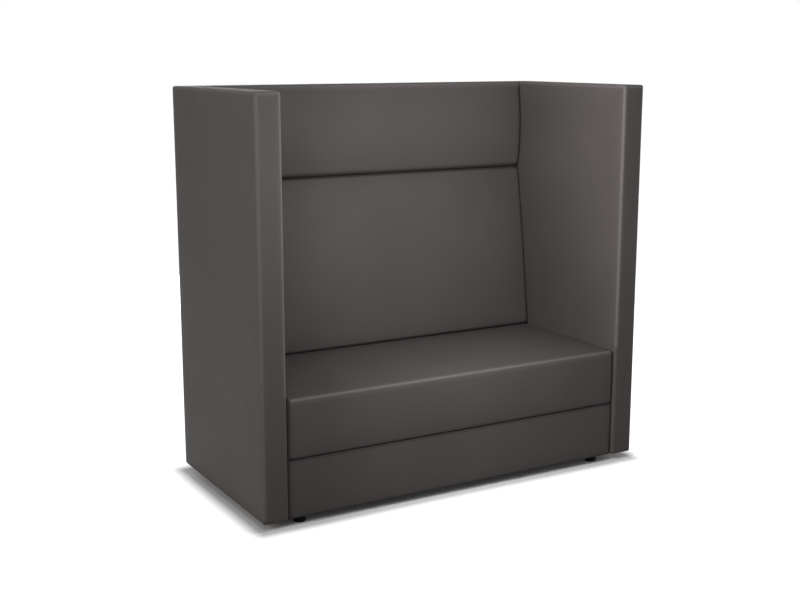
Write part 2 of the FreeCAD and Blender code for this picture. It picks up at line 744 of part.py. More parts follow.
def dowels(name, radius):
    """Upright dowels, half in the plinth's rails and half in the seat's."""
    start = mm.plinth_top - mm.dowel_length / 2
    pieces = []
    for number, y in enumerate((box_front + mm.seat_rail / 2, unit_rear - mm.seat_rail / 2)):
        pieces.append(both("%s_%d" % (name, number), rod("%s_body_%d" % (name, number), "z",
                                                        (-mm.dowel_offset, y, start), radius,
                                                        mm.dowel_length)))
    return group(name, pieces)


# Seat: webbing interlaced over a timber box, a foam block with a rounded front, and the cover

seat_box_base = seat_base + cover
webbing_bed = seat_box_base + mm.seat_rail_height
seat_foam_base = webbing_bed + mm.webbing_thickness * 2 + mm.webbing_clear * 2
seat_flat = rear - mm.lumbar_foot_depth - mm.lumbar_crown - mm.lumbar_swell


def seat_section(inset):
    """Sections of the seat, drawn in on all sides but the rear by inset."""
    corner = mm.seat_edge_radius - inset
    seam = mm.seat_seam_radius - inset

    def section(swell, draw):
        low = seat_base + inset
        high = mm.seat_top - inset - draw
        face = unit_front + inset + draw
        corners = [(unit_rear, low), (unit_rear, high), (seat_flat, high), (face + corner, high),
                   (face, high - corner), (face, low + seam), (face + seam, low)]
        arches = {2: mm.seat_top_crown + mm.seat_top_swell * swell, 3: corner * CORNER_ARCH,
                  4: mm.seat_front_crown + mm.seat_front_swell * swell, 5: seam * CORNER_ARCH}
        return corners, arches
    return section


def strap(axis, middle, lanes, start, end, first_over, strap_width):
    """One webbing strap that runs along axis and passes over and under the straps that cross it.

    lanes holds the middles of the crossing straps, in order along the axis.
    """
    bed = webbing_bed.value
    thick = mm.webbing_thickness.value
    lift = thick + mm.webbing_clear.value
    half_lane = strap_width / 2
    heights = [(start, bed)]
    over = first_over
    for lane in lanes:
        level = bed + lift if over else bed
        heights.append((lane - half_lane, level))
        heights.append((lane + half_lane, level))
        over = not over
    heights.append((end, bed))
    lower = []
    for along, height in heights:
        if axis == "y":
            lower.append(FreeCAD.Vector(middle - strap_width / 2, along, height))
        else:
            lower.append(FreeCAD.Vector(along, middle - strap_width / 2, height))
    upper = [point + FreeCAD.Vector(0, 0, thick) for point in reversed(lower)]
    side = Part.Face(Part.makePolygon(lower + upper + lower[:1]))
    across = FreeCAD.Vector(strap_width, 0, 0) if axis == "y" else FreeCAD.Vector(0, strap_width, 0)
    return side.extrude(across)


def lanes_between(low, high):
    """Middles of as many straps as fit side by side with at least the least gap between them."""
    width = mm.webbing_width.value
    clear = high - low
    count = int((clear - mm.webbing_gap_least.value) // (width + mm.webbing_gap_least.value))
    gap = (clear - count * width) / (count + 1)
    return [low + gap + width / 2 + number * (width + gap) for number in range(count)]


def webbing():
    """Front-to-rear straps and end-to-end straps, each over one and under the next."""
    across = lanes_between(-box_half.value, box_half.value)
    along = lanes_between((box_front + mm.seat_rail).value, (unit_rear - mm.seat_rail).value)
    bearing = mm.webbing_bearing.value
    width = mm.webbing_width.value
    y_ends = ((box_front + mm.seat_rail).value - bearing, (unit_rear - mm.seat_rail).value + bearing)
    x_ends = (-box_half.value - bearing, box_half.value + bearing)
    lengthwise = []
    for number, middle in enumerate(across):
        lengthwise.append(strap("y", middle, along, *y_ends, number % 2 == 0, width))
    crosswise = []
    for number, middle in enumerate(along):
        crosswise.append(strap("x", middle, across, *x_ends, number % 2 == 1, width))
    for name, straps in (("seat_webbing_front_to_rear", lengthwise), ("seat_webbing_end_to_end", crosswise)):
        piece = doc.addObject("Part::Feature", name)
        piece.Shape = Part.makeCompound(straps)
        piece.Placement = FreeCAD.Placement()
        finish(name, piece)


def corner_blocks(name, z):
    """Triangular blocks glued into the corners of the seat box."""
    y_front = box_front + mm.seat_rail
    y_rear = unit_rear - mm.seat_rail
    leg = mm.corner_block
    blocks = [
        drawn(name + "_front", "XY_Plane", *z, [(-box_half, y_front), (-box_half + leg, y_front),
                                                (-box_half, y_front + leg)]),
        drawn(name + "_rear", "XY_Plane", *z, [(-box_half, y_rear), (-box_half, y_rear - leg),
                                               (-box_half + leg, y_rear)]),
    ]
    return group(name, [both("%s_pair_%d" % (name, number), piece) for number, piece in enumerate(blocks)])


def seat(dowel_holes):
    holes = both("seat_bolt_holes_both", bolt_holes("seat_bolt_holes", SEAT_BOLTS))
    box_z = (seat_box_base, webbing_bed)
    finish("seat_rails", carve("seat_rails", box_rails("seat_rails", box_front, box_z),
                               [holes, dowel_holes]))
    cross = block("seat_cross_rail", cross_x, (box_front + mm.seat_rail, unit_rear - mm.seat_rail),
                  (seat_box_base, webbing_bed - mm.seat_cross_drop))
    finish("seat_cross_rails", both("seat_cross_rails", cross))
    finish("seat_corner_blocks", corner_blocks("seat_corner_blocks",
                                               (seat_box_base, webbing_bed - mm.seat_cross_drop)))
    webbing()

    skin = crowned("seat_skin", bay_half, mm.seat_edge_radius, seat_section(cover * 0))
    filling = crowned("seat_filling", inside_half, mm.seat_edge_radius - cover, seat_section(cover))
    foremost = unit_front - mm.seat_front_crown - mm.seat_front_swell - beyond
    below = block("seat_below_foam", (-bay_half, bay_half), (foremost, unit_rear + beyond),
                  (seat_base - beyond, seat_foam_base))
    behind = block("seat_behind_edge_foam", (-bay_half, bay_half), (box_front, unit_rear + beyond),
                   (seat_base - beyond, seat_foam_base + beyond))
    mouth = block("seat_mouth", (-inside_half + mm.hem_width, inside_half - mm.hem_width),
                  (unit_front + mm.hem_width, unit_rear + beyond),
                  (seat_base - beyond, seat_box_base + beyond))
    finish("seat_foam", carve("seat_foam", filling, [below]))
    edge_foam = shared("seat_edge_foam_whole", filling, below)
    finish("seat_edge_foam", carve("seat_edge_foam", edge_foam, [behind]))
    finish("seat_cover", carve("seat_cover", skin, [filling, mouth, holes, dowel_holes]))


# Plinth: a timber box with foot blocks in its corners, foam on the front, a cover and a lining

lining_top = base + cover + mm.bottom_lining
foot_x = -(mm.overall_width / 2 - mm.side_thickness - mm.foot_inset_side)
foot_front = unit_front + mm.foot_inset_front
plinth_box_front = unit_front + cover + mm.plinth_foam
foot_rear = unit_rear - (foot_front - plinth_box_front)
FEET = {
    "front_left": (foot_x, foot_front),
    "front_right": (-foot_x, foot_front),
    "rear_left": (foot_x, foot_rear),
    "rear_right": (-foot_x, foot_rear),
}


def plinth(dowel_holes):
    holes = both("plinth_bolt_holes_both", bolt_holes("plinth_bolt_holes", PLINTH_BOLTS))
    box_z = (lining_top, plinth_lid - cover)
    finish("plinth_rails", carve("plinth_rails", box_rails("plinth_rails", plinth_box_front, box_z),
                                 [holes, dowel_holes]))
    inner_y = (plinth_box_front + mm.seat_rail, unit_rear - mm.seat_rail)
    finish("plinth_cross_rails", both("plinth_cross_rails",
                                      block("plinth_cross_rail", cross_x, inner_y, box_z)))

    blocks = []
    stud_holes = []
    for name, (x, y) in FEET.items():
        stud_holes.append(rod("stud_hole_" + name, "z", (x, y, base - beyond),
                              mm.stud_radius + mm.bolt_slack, mm.foot_block_height + mm.bottom_lining
                              + cover + beyond * 2))
    for number, y in enumerate((inner_y[0], inner_y[1] - mm.foot_block)):
        blocks.append(both("foot_block_pair_%d" % number, block(
            "foot_block_%d" % number, (-box_half, -box_half + mm.foot_block), (y, y + mm.foot_block),
            (lining_top, lining_top + mm.foot_block_height))))
    drilled = group("stud_holes", stud_holes)
    barrel_holes = []
    for name, (x, y) in FEET.items():
        barrel_holes.append(rod("barrel_hole_" + name, "z",
                                (x, y, lining_top + mm.foot_block_height - mm.tee_barrel),
                                mm.tee_barrel_radius, mm.tee_barrel + beyond))
    finish("foot_blocks", carve("foot_blocks", group("foot_blocks_plain", blocks),
                                [drilled, group("barrel_holes", barrel_holes)]))

    y = (unit_front, unit_rear)
    z = (base, plinth_lid)

    skin = rounded_block("plinth_skin", (-bay_half, bay_half), y, z, mm.plinth_edge_radius,
                         lambda middle: near(middle.y, unit_front))
    filling = rounded_block("plinth_filling", (-inside_half, inside_half), (unit_front + cover, unit_rear),
                            (base + cover, plinth_lid - cover), mm.plinth_edge_radius - cover,
                            lambda middle: near(middle.y, unit_front + cover))
    mouth = block("plinth_mouth", (-inside_half + mm.hem_width, inside_half - mm.hem_width),
                  (unit_front + cover + mm.hem_width, unit_rear + beyond),
                  (base - beyond, plinth_lid + beyond))
    finish("plinth_cover", carve("plinth_cover", skin, [filling, mouth, holes, dowel_holes]))
    behind = block("plinth_behind_foam", (-bay_half, bay_half), (plinth_box_front, unit_rear + beyond),
                   (base, plinth_lid))
    finish("plinth_foam", carve("plinth_foam", filling, [behind]))
    cloth = block("plinth_lining_plain", (-inside_half, inside_half), (plinth_box_front, unit_rear),
                  (base + cover, lining_top))
    finish("plinth_lining", carve("plinth_lining", cloth, [drilled]))


# Levelling feet: a pad that swivels on its stud, and a stud that screws in and out of a tee nut

pad_top = base + cover - mm.foot_seat_gap
flange_base = mm.pad_floor + mm.swivel_slack
flange_top = flange_base + mm.stud_flange


def turned(name, x, y, corners):
    """A round piece from half its section, given as (radius, height) anticlockwise."""
    body = doc.addObject("PartDesign::Body", name)
    sketch = sketch_on(body, name + "_half", "XZ_Plane")
    outline(sketch, corners)
    round_piece = body.newObject("PartDesign::Revolution", name + "_turned")
    round_piece.Profile = sketch
    round_piece.ReferenceAxis = (sketch, ["V_Axis"])
    round_piece.Angle = 360
    bind(body, "Placement.Base.x", x)
    bind(body, "Placement.Base.y", y)
    return body


def foot_pad(name, x, y):
    """A round pad, hollow where the stud's flange turns, open below for the key."""
    nought = mm.foot_radius * 0
    key_hole = mm.stud_radius
    neck = mm.stud_radius + mm.swivel_slack
    pocket = mm.stud_flange_radius + mm.swivel_slack
    pocket_top = flange_top + mm.swivel_slack
    return turned(name, x, y, [
        (key_hole, nought), (mm.foot_radius - mm.foot_bevel, nought), (mm.foot_radius, mm.foot_bevel),
        (mm.foot_radius, pad_top - mm.foot_bevel / 2), (mm.foot_radius - mm.foot_bevel / 2, pad_top),
        (neck, pad_top), (neck, pocket_top), (pocket, pocket_top), (pocket, mm.pad_floor),
        (key_hole, mm.pad_floor)])


def foot_stud(name, x, y):
    """A stud with a round flange at its foot and a hexagon socket for a key."""
    nought = mm.stud_radius * 0
    body = turned(name, x, y, [
        (nought, flange_base), (mm.stud_flange_radius, flange_base), (mm.stud_flange_radius, flange_top),
        (mm.stud_radius, flange_top), (mm.stud_radius, flange_top + mm.stud_length - mm.stud_chamfer),
        (mm.stud_radius - mm.stud_chamfer, flange_top + mm.stud_length),
        (nought, flange_top + mm.stud_length)])
    socket = sketch_on(body, name + "_socket_outline", "XY_Plane", flange_base)
    hexagon(socket, mm.stud_socket)
    pocket = body.newObject("PartDesign::Pocket", name + "_socket")
    pocket.Profile = socket
    pocket.Reversed = True
    bind(pocket, "Length", mm.stud_flange)
    return body


def tee_nut(name, x, y):
    """A tee nut, its flange on top of the foot block and its barrel let into it."""
    seat_plane = lining_top + mm.foot_block_height
    bore = mm.stud_radius + mm.thread_slack
    return turned(name, x, y, [
        (bore, seat_plane - mm.tee_barrel), (mm.tee_barrel_radius, seat_plane - mm.tee_barrel),
        (mm.tee_barrel_radius, seat_plane), (mm.tee_flange_radius, seat_plane),
        (mm.tee_flange_radius, seat_plane + mm.tee_flange), (bore, seat_plane + mm.tee_flange)])


def feet():
    nuts = []
    for name, (x, y) in FEET.items():
        finish(name + "_foot_pad", foot_pad(name + "_foot_pad", x, y))
        finish(name + "_foot_stud", foot_stud(name + "_foot_stud", x, y))
        nuts.append(tee_nut("tee_nut_" + name, x, y))
    finish("foot_tee_nuts", group("foot_tee_nuts", nuts))


side_panel()
back_panel()
head_pad()
lumbar_cushion()
dowel_tools = dowels("dowel_holes", mm.dowel_radius)
seat(dowel_tools)
plinth(dowel_tools)
finish("seat_dowels", dowels("seat_dowels", mm.dowel_radius))
feet()
side_bolts("plinth_side_bolts", PLINTH_BOLTS)
side_bolts("seat_side_bolts", SEAT_BOLTS)
side_bolts("back_side_bolts", BACK_BOLTS)
doc.recompute()

for thing in doc.Objects:
    if "Invalid" in thing.State or "Error" in thing.State:
        raise RuntimeError("%s is %s" % (thing.Label, thing.State))
for piece in nodes:
    if piece.Shape.isNull() or not piece.Shape.isValid():
        raise RuntimeError("%s has no valid shape" % piece.Label)

os.makedirs("parts", exist_ok=True)
for piece in nodes:
    piece.Shape.exportStep("parts/%s.step" % piece.Label)
    print("%-28s %2d solids %12.1f mm3" % (piece.Label, len(piece.Shape.Solids), piece.Shape.Volume))
print(len(nodes), "nodes")
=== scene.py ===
# %% [markdown]
# # A booth settee, dressed piece by piece
# The settee is a tall two-seat booth: two flat padded side panels, a back with a head pad above a
# leaning lumbar cushion, a block seat and an upholstered plinth on four black feet. Every cover
# is the same dark warm-grey leather. The timber, boards, webbing and bolts inside come from the
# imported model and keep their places. This lesson makes what a hand can touch: the leather covers
# and their foam.

import math

import bmesh
import bpy
from mathutils import Euler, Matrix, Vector


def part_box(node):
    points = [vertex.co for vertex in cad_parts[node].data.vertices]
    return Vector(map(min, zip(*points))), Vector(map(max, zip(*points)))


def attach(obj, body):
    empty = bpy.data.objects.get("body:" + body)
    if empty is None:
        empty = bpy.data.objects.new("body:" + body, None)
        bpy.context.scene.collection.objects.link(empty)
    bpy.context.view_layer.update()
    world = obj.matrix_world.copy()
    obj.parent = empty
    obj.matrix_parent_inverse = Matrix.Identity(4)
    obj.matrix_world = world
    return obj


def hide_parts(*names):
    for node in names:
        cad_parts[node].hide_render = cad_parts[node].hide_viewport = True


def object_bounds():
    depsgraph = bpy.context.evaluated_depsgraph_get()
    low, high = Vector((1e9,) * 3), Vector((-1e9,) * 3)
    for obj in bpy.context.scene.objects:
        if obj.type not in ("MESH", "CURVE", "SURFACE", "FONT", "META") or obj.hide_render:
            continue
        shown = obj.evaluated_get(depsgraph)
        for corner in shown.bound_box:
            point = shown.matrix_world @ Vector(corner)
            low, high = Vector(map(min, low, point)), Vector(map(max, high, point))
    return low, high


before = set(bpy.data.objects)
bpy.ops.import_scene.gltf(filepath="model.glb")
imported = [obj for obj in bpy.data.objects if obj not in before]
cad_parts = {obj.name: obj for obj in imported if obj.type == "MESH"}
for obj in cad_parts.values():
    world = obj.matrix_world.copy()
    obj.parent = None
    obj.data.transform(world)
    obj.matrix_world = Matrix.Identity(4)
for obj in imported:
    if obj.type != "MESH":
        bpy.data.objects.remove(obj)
frame_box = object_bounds()
print("frame", [tuple(round(v, 3) for v in corner) for corner in frame_box])

# %% [markdown]
# ## The camera
# The photograph looks at the settee from the front left, from a little above its top. A camera is
# three choices: where it stands, where it looks and how long its lens is. These came from
# matching the settee's corners to the photograph, so that every part of the picture can be
# compared.

# %% Camera
LENS = 55.24
CAMERA_PLACE = (-2.157, -3.651, 1.463)
LOOKING_DOWN = 11.448
FROM_THE_LEFT = 30.038

camera_data = bpy.data.cameras.new("studio_camera")
camera_data.lens = LENS
camera_data.sensor_width = 36.0
camera_data.clip_start = 0.05
camera_data.clip_end = 60.0
camera = bpy.data.objects.new("studio_camera", camera_data)
camera.location = CAMERA_PLACE
camera.rotation_euler = Euler((math.radians(90 - LOOKING_DOWN), 0.0, math.radians(-FROM_THE_LEFT)))
bpy.context.scene.collection.objects.link(camera)
bpy.context.scene.camera = camera
print("camera at", tuple(round(v, 3) for v in camera.location))

# %% [markdown]
# ## Tools for the hand
# Modelling by operators acts on whatever is selected, so each helper first lets go of everything
# and then picks what it needs by place. Selecting by place, such as "all faces at the front",
# keeps every step readable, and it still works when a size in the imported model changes.

# %% Selecting by place
NEAR = 0.0004  # two places that are closer than this count as the same


def only(*pieces):
    """Select these objects and nothing else, the first one active."""
    bpy.ops.object.select_all(action="DESELECT")
    for piece in pieces:
        piece.select_set(True)
    bpy.context.view_layer.objects.active = pieces[0]


def edit(piece):
    only(piece)
    bpy.ops.object.mode_set(mode="EDIT")


def leave_edit():
    bpy.ops.object.mode_set(mode="OBJECT")


def pick(piece, kind, test):
    """In edit mode, select the vertices, edges or faces that pass a test of their middle point."""
    bpy.ops.mesh.select_all(action="DESELECT")
    bpy.ops.mesh.select_mode(type={"verts": "VERT", "edges": "EDGE", "faces": "FACE"}[kind])
    mesh = bmesh.from_edit_mesh(piece.data)
    count = 0
    for part in getattr(mesh, kind):
        if kind == "verts":
            middle = part.co
        else:
            middle = sum((v.co for v in part.verts), Vector()) / len(part.verts)
        if test(middle, part):
            part.select_set(True)
            count += 1
    mesh.select_flush_mode()
    bmesh.update_edit_mesh(piece.data)
    return count


def at(value, place):
    return abs(value - place) < NEAR


# %% Starting and cutting a block
def block(name, low, high):
    """A cube primitive at its size and place, with its object at the origin."""
    bpy.ops.object.select_all(action="DESELECT")
    middle = (Vector(low) + Vector(high)) / 2
    bpy.ops.mesh.primitive_cube_add(size=1, location=middle)
    piece = bpy.context.object
    piece.name = name
    piece.scale = Vector(high) - Vector(low)
    bpy.ops.object.transform_apply(location=True, rotation=False, scale=True)
    return piece


AXES = {"x": (1, 0, 0), "y": (0, 1, 0), "z": (0, 0, 1)}


def cut_across(piece, axis, places):
    """Bisect the whole piece at each place along an axis, which leaves rows of quads."""
    direction = Vector(AXES[axis])
    edit(piece)
    for place in places:
        bpy.ops.mesh.select_all(action="SELECT")
        bpy.ops.mesh.bisect(plane_co=direction * place, plane_no=direction)
    leave_edit()


def steps(low, high, pitch):
    """Places between low and high, evenly spaced and no further apart than pitch."""
    count = max(2, math.ceil((high - low) / pitch))
    return [low + (high - low) * number / count for number in range(1, count)]


def push(piece, test, shift):
    """Move the vertices that pass a test."""
    edit(piece)
    if pick(piece, "verts", test):
        bpy.ops.transform.translate(value=shift)
    leave_edit()


def arch(piece, axis, face_test, rows, low, high, height, direction):
    """Push a face's rows out as a shallow arc between low and high."""
    half = (high - low) / 2
    radius = (half * half + height * height) / (2 * height)
    column = "xyz".index(axis)
    for row in rows:
        off = row - (low + half)
        rise = math.sqrt(radius * radius - off * off) - (radius - height)
        push(piece, lambda middle, part: at(middle[column], row) and face_test(middle),
             Vector(direction) * rise)


# %% [markdown]
# A sewn cover has no knife edge anywhere. Its long edges are tight, and its ends and corners are
# rounder, because the foam gives way there. A Bevel modifier can do all of them in one go: each
# edge carries a weight, its share of the largest radius, and the corners between them meet
# cleanly.

# %% Rounding edges
LONG_EDGE = 0.5
SEAM_DEPTH = 0.0009


def apply_modifier(piece, kind, **values):
    modifier = piece.modifiers.new(kind.title(), kind)
    for name, value in values.items():
        setattr(modifier, name, value)
    only(piece)
    bpy.ops.object.modifier_apply(modifier=modifier.name)


def round_edges(piece, radii, segments=4):
    """Round edges, each kind to its own radius: {radius: test of the edge}."""
    largest = max(radii)
    edit(piece)
    for radius, test in radii.items():
        if pick(piece, "edges", test):
            bpy.ops.transform.edge_bevelweight(value=radius / largest)
    leave_edit()
    apply_modifier(piece, "BEVEL", limit_method="WEIGHT", width=largest, segments=segments)


def across(edge):
    """True for a long edge that runs from side to side."""
    return abs(edge.verts[0].co.x - edge.verts[1].co.x) > LONG_EDGE


def seam(piece, test):
    """Draw a sewn line in: the points that pass the test sink along the surface's normals."""
    edit(piece)
    if pick(piece, "verts", test):
        bpy.ops.transform.shrink_fatten(value=-SEAM_DEPTH)
    leave_edit()


# %% [markdown]
# ## How the upholstery swells
# Foam under a tight cover pushes the leather out a little in the middle of each face, while the
# seams at the edges hold it back. Cloth simulation shows exactly that: the cover is a cloth with
# air pressure inside, its edges are pinned, and after twenty frames the faces have filled out.
# The move is capped, because firm foam gives only a few millimetres. One subdivision then makes
# the curves smooth.

# %% Swelling by cloth simulation
AIR_PRESSURE = 4.0
LAST_FRAME = 20

scene = bpy.context.scene


def coordinates(piece):
    return [v.co.copy() for v in piece.data.vertices]


def swell(piece, free, cap):
    """Let the cover fill out where free(point) is true, by no more than cap."""
    edit(piece)
    bpy.ops.mesh.select_all(action="SELECT")
    bpy.ops.mesh.remove_doubles(threshold=NEAR / 2)
    leave_edit()
    held = piece.vertex_groups.new(name="held")
    before = coordinates(piece)
    pinned = [number for number, point in enumerate(before) if not free(point)]
    held.add(pinned, 1.0, "REPLACE")
    cloth = piece.modifiers.new("Cloth", "CLOTH")
    settings = cloth.settings
    settings.quality = 6
    settings.mass = 0.4
    settings.tension_stiffness = 12
    settings.compression_stiffness = 12
    settings.shear_stiffness = 6
    settings.bending_stiffness = 0.6
    settings.use_pressure = True
    settings.uniform_pressure_force = AIR_PRESSURE
    settings.effector_weights.gravity = 0.0
    settings.vertex_group_mass = "held"
    cloth.collision_settings.use_collision = False
    cloth.point_cache.frame_start = 1
    cloth.point_cache.frame_end = LAST_FRAME
    for number in range(1, LAST_FRAME + 1):
        scene.frame_set(number)
    only(piece)
    bpy.ops.object.modifier_apply(modifier=cloth.name)
    scene.frame_set(1)
    largest = 0.0
    for vertex, start in zip(piece.data.vertices, before):
        move = vertex.co - start
        length = move.length
        if length > 0:
            vertex.co = start + move * (cap / (cap + length))
            largest = max(largest, (vertex.co - start).length)
    piece.vertex_groups.clear()
    piece.data.update()
    return largest


# %% Smoothing after the swelling
SQUARE_EDGE = math.radians(60)
SMOOTH_BELOW = math.radians(50)


def refine(piece):
    """One subdivision. Square edges are creased first, so that it keeps them square."""
    edit(piece)
    bpy.ops.mesh.select_mode(type="EDGE")
    bpy.ops.mesh.select_all(action="DESELECT")
    bpy.ops.mesh.edges_select_sharp(sharpness=SQUARE_EDGE)
    if any(edge.select for edge in bmesh.from_edit_mesh(piece.data).edges):
        bpy.ops.transform.edge_crease(value=1.0)
    leave_edit()
    apply_modifier(piece, "SUBSURF", levels=1, render_levels=1)


def smooth(piece):
    only(piece)
    bpy.ops.object.shade_smooth_by_angle(angle=SMOOTH_BELOW)


def report_form(title, piece, moved):
    print(title, len(piece.data.vertices), "points, swelled", round(moved * 1000, 1), "mm")


# %% [markdown]
# ## From the outer form to leather and foam
# Each unit is first modelled as one closed form, the outside that the eye sees. Its leather is
# that form given a thin wall inwards, with the wall left open underneath where the real cover is
# only turned in and stapled. Its foam is the same form drawn in by the thickness of the leather,
# with the timber's room cut out of it. So the leather always lies on the foam.
#
# Before it gets its wall, each cover also stores a mark at every point for the leather's colour:
# edges that get a painted highlight go above 0, and edges down in a gap, which get painted shade,
# go below it.

# %% Where highlight and shade are painted
SHARP = math.radians(12)  # an edge that turns by this much or more is marked in full
# how far from an edge the painted highlight reaches
PAINTED_HIGHLIGHT_BAND = 0.02


def mark_painted_light(piece, highlit, unhighlit):
    """Store how the surface turns: 0 on a flat, 1 on an edge that takes painted highlight, -1 in a
    gap that takes painted shade.
    """
    mark = piece.data.attributes.new("painted_highlight_and_shade", "FLOAT", "POINT")
    mesh = bmesh.new()
    mesh.from_mesh(piece.data)
    for vertex in mesh.verts:
        turn = max((edge.calc_face_angle(0.0) for edge in vertex.link_edges), default=0.0)
        sign = 1 if highlit(vertex.co) else unhighlit
        mark.data[vertex.index].value = min(1.0, turn / SHARP) * sign
    mesh.free()


# %% Leather and foam from one form
COVER = 0.0015  # the leather's thickness
HEM = 0.018  # the width that is turned in round an opening
CLEAR = 0.00005  # a hair's breadth, so that two pieces never share a surface
FAR = 1.0  # further out than any piece that is cut


def copy_of(piece, name):
    twin = piece.copy()
    twin.data = piece.data.copy()
    twin.name = name
    scene.collection.objects.link(twin)
    return twin


def open_up(piece, test):
    """Take out the faces that pass a test."""
    edit(piece)
    if pick(piece, "faces", test):
        bpy.ops.mesh.delete(type="FACE")
    leave_edit()


def wall(piece, highlit, unhighlit=-1):
    """Mark where a cover takes painted highlight and painted shade, and give it its thickness,
    inwards.
    """
    mark_painted_light(piece, highlit, unhighlit)
    apply_modifier(piece, "SOLIDIFY", thickness=COVER, offset=-1.0, use_even_offset=True)


def cut_away(piece, low, high):
    """Take a squared room out of a piece."""
    room = block("room", low, high)
    apply_modifier(piece, "BOOLEAN", operation="DIFFERENCE", solver="EXACT", object=room)
    bpy.data.objects.remove(room)


def foam_inside(form, name):
    """A copy of a closed form, drawn in to lie under the leather."""
    foam = copy_of(form, name)
    apply_modifier(foam, "DISPLACE", strength=-(COVER + CLEAR), mid_level=0.0)
    return foam


def span(*names):
    """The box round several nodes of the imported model."""
    boxes = [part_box(name) for name in names]
    low = Vector([min(b[0][k] for b in boxes) for k in range(3)])
    high = Vector([max(b[1][k] for b in boxes) for k in range(3)])
    return low, high


# %% [markdown]
# ## The side panels
# A side panel is a flat slab in a tight sleeve: its edges are rounded by the foam jacket, and the
# leather is stretched so hard that its large faces are almost flat. One panel is made and
# mirrored, as the factory cuts both from one pattern. It starts as a block, its edges are
# bevelled, and cuts across it give the cloth enough points to swell. The sleeve is sewn shut down
# the middle of its rear edge, so three rows are cut close together there, and the middle one is
# drawn in.

# %% Side panel form
GRID = 0.03
PANEL_EDGE = 0.008
PANEL_SHOULDER = 0.022
SEAM_ROW = 0.0012
STAPLED = 0.03  # staples underneath hold the leather flat up to this height
TIGHT_BULGE = 0.0015

panel_low, panel_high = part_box("left_side_cover")
panel = block("left_side_form", panel_low, panel_high)
panel_middle = (panel_low.x + panel_high.x) / 2
round_edges(panel, {PANEL_EDGE: lambda middle, edge: True})
cut_across(panel, "x", [panel_middle - SEAM_ROW, panel_middle, panel_middle + SEAM_ROW,
                        panel_low.x + PANEL_SHOULDER, panel_high.x - PANEL_SHOULDER])
cut_across(panel, "y", [panel_low.y + HEM, panel_high.y - HEM]
           + steps(panel_low.y + HEM, panel_high.y - HEM, GRID))
cut_across(panel, "z", steps(panel_low.z + PANEL_EDGE, panel_high.z - PANEL_EDGE, GRID))


def panel_is_free(point):
    inside_y = panel_low.y + PANEL_EDGE + NEAR < point.y < panel_high.y - PANEL_EDGE - NEAR
    inside_z = panel_low.z + STAPLED < point.z < panel_high.z - PANEL_EDGE - NEAR
    return inside_y and inside_z and (at(point.x, panel_low.x) or at(point.x, panel_high.x))


moved = swell(panel, panel_is_free, TIGHT_BULGE)
seam(panel, lambda middle, part: at(middle.x, panel_middle) and middle.y > panel_high.y - NEAR)
refine(panel)
report_form("side panel form:", panel, moved)

# %% [markdown]
# The two boards of the panel stand in a room cut out of its foam. The sleeve is open at the foot.
# Its front, its top and its outer rear edge get a painted highlight, and the edges in the gap
# beside the seat and the back get neither highlight nor painted shade.

# %% Side panel leather and foam
board_low, board_high = span("left_side_outer_board", "left_side_inner_board")
left_foam = foam_inside(panel, "left_side_padding")
cut_away(left_foam, (board_low.x, board_low.y, panel_low.z - 0.01), board_high)
left_cover = panel
left_cover.name = "left_side_leather"
open_up(left_cover, lambda middle, face: middle.z < panel_low.z + NEAR
        and panel_low.x + HEM < middle.x < panel_high.x - HEM
        and panel_low.y + HEM < middle.y < panel_high.y - HEM)
gap_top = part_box("seat_cover")[1].z


def panel_is_highlit(point):
    """The edges with a painted highlight: the outer edges and the front, but no edge in the gap
    beside the seat or the back.
    """
    if point.y > panel_high.y - HEM:
        return point.x < panel_middle - HEM
    if point.x > panel_middle:
        return point.z > gap_top
    return point.z > panel_low.z + HEM


wall(left_cover, panel_is_highlit, unhighlit=0)
print("left side leather:", len(left_cover.data.polygons), "faces")


# %% The right side, mirrored
def mirrored(piece, name):
    """A copy on the other side of the middle plane, its faces turned the right way out."""
    twin = copy_of(piece, name)
    twin.scale.x = -1
    only(twin)
    bpy.ops.object.transform_apply(location=False, rotation=False, scale=True)
    edit(twin)
    bpy.ops.mesh.select_all(action="SELECT")
    bpy.ops.mesh.flip_normals()
    leave_edit()
    return twin


right_cover = mirrored(left_cover, "right_side_leather")
right_foam = mirrored(left_foam, "right_side_padding")
print("each side's padding:", len(left_foam.data.polygons), "faces")

# %% [markdown]
# ## The head pad
# The head pad hangs on the upper half of the back. Between its top edge and the crease below it,
# its face bulges as one shallow arch. The block is cut into rows, each row is pushed forward by
# its share of the arch, and only then are the rim's edges rounded, so that the rounding follows
# the curve. The ends and the underside are the roundest, and the top edge is tight.

# %% Head pad form
FINE = 0.024
HEAD_EDGE = 0.006
HEAD_END = 0.016
HEAD_UNDER = 0.014
HEAD_ARCH = 0.015
HEAD_FOOT_DEPTH = 0.024
HEAD_TOP_DEPTH = 0.0195
CUSHION_BULGE = 0.006
FACE_SLACK = 0.001

head_low, head_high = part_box("head_cover")
back_face = head_high.y
crease_z = head_low.z
top_z = head_high.z
head_foot_y = back_face - HEAD_FOOT_DEPTH
head_top_y = back_face - HEAD_TOP_DEPTH

head = block("head_form", (head_low.x, head_foot_y, crease_z), (head_high.x, back_face, top_z))
push(head, lambda middle, part: at(middle.z, top_z) and at(middle.y, head_foot_y),
     (0, head_top_y - head_foot_y, 0))
head_rows = steps(crease_z, top_z, FINE)
cut_across(head, "z", head_rows)
arch(head, "z", lambda middle: middle.y < head_top_y + NEAR, head_rows, crease_z, top_z,
     HEAD_ARCH, (0, -1, 0))


def head_rim(middle, edge):
    front = all(vertex.co.y < head_top_y + NEAR for vertex in edge.verts)
    return front and (not across(edge) or at(middle.z, top_z) or at(middle.z, crease_z))


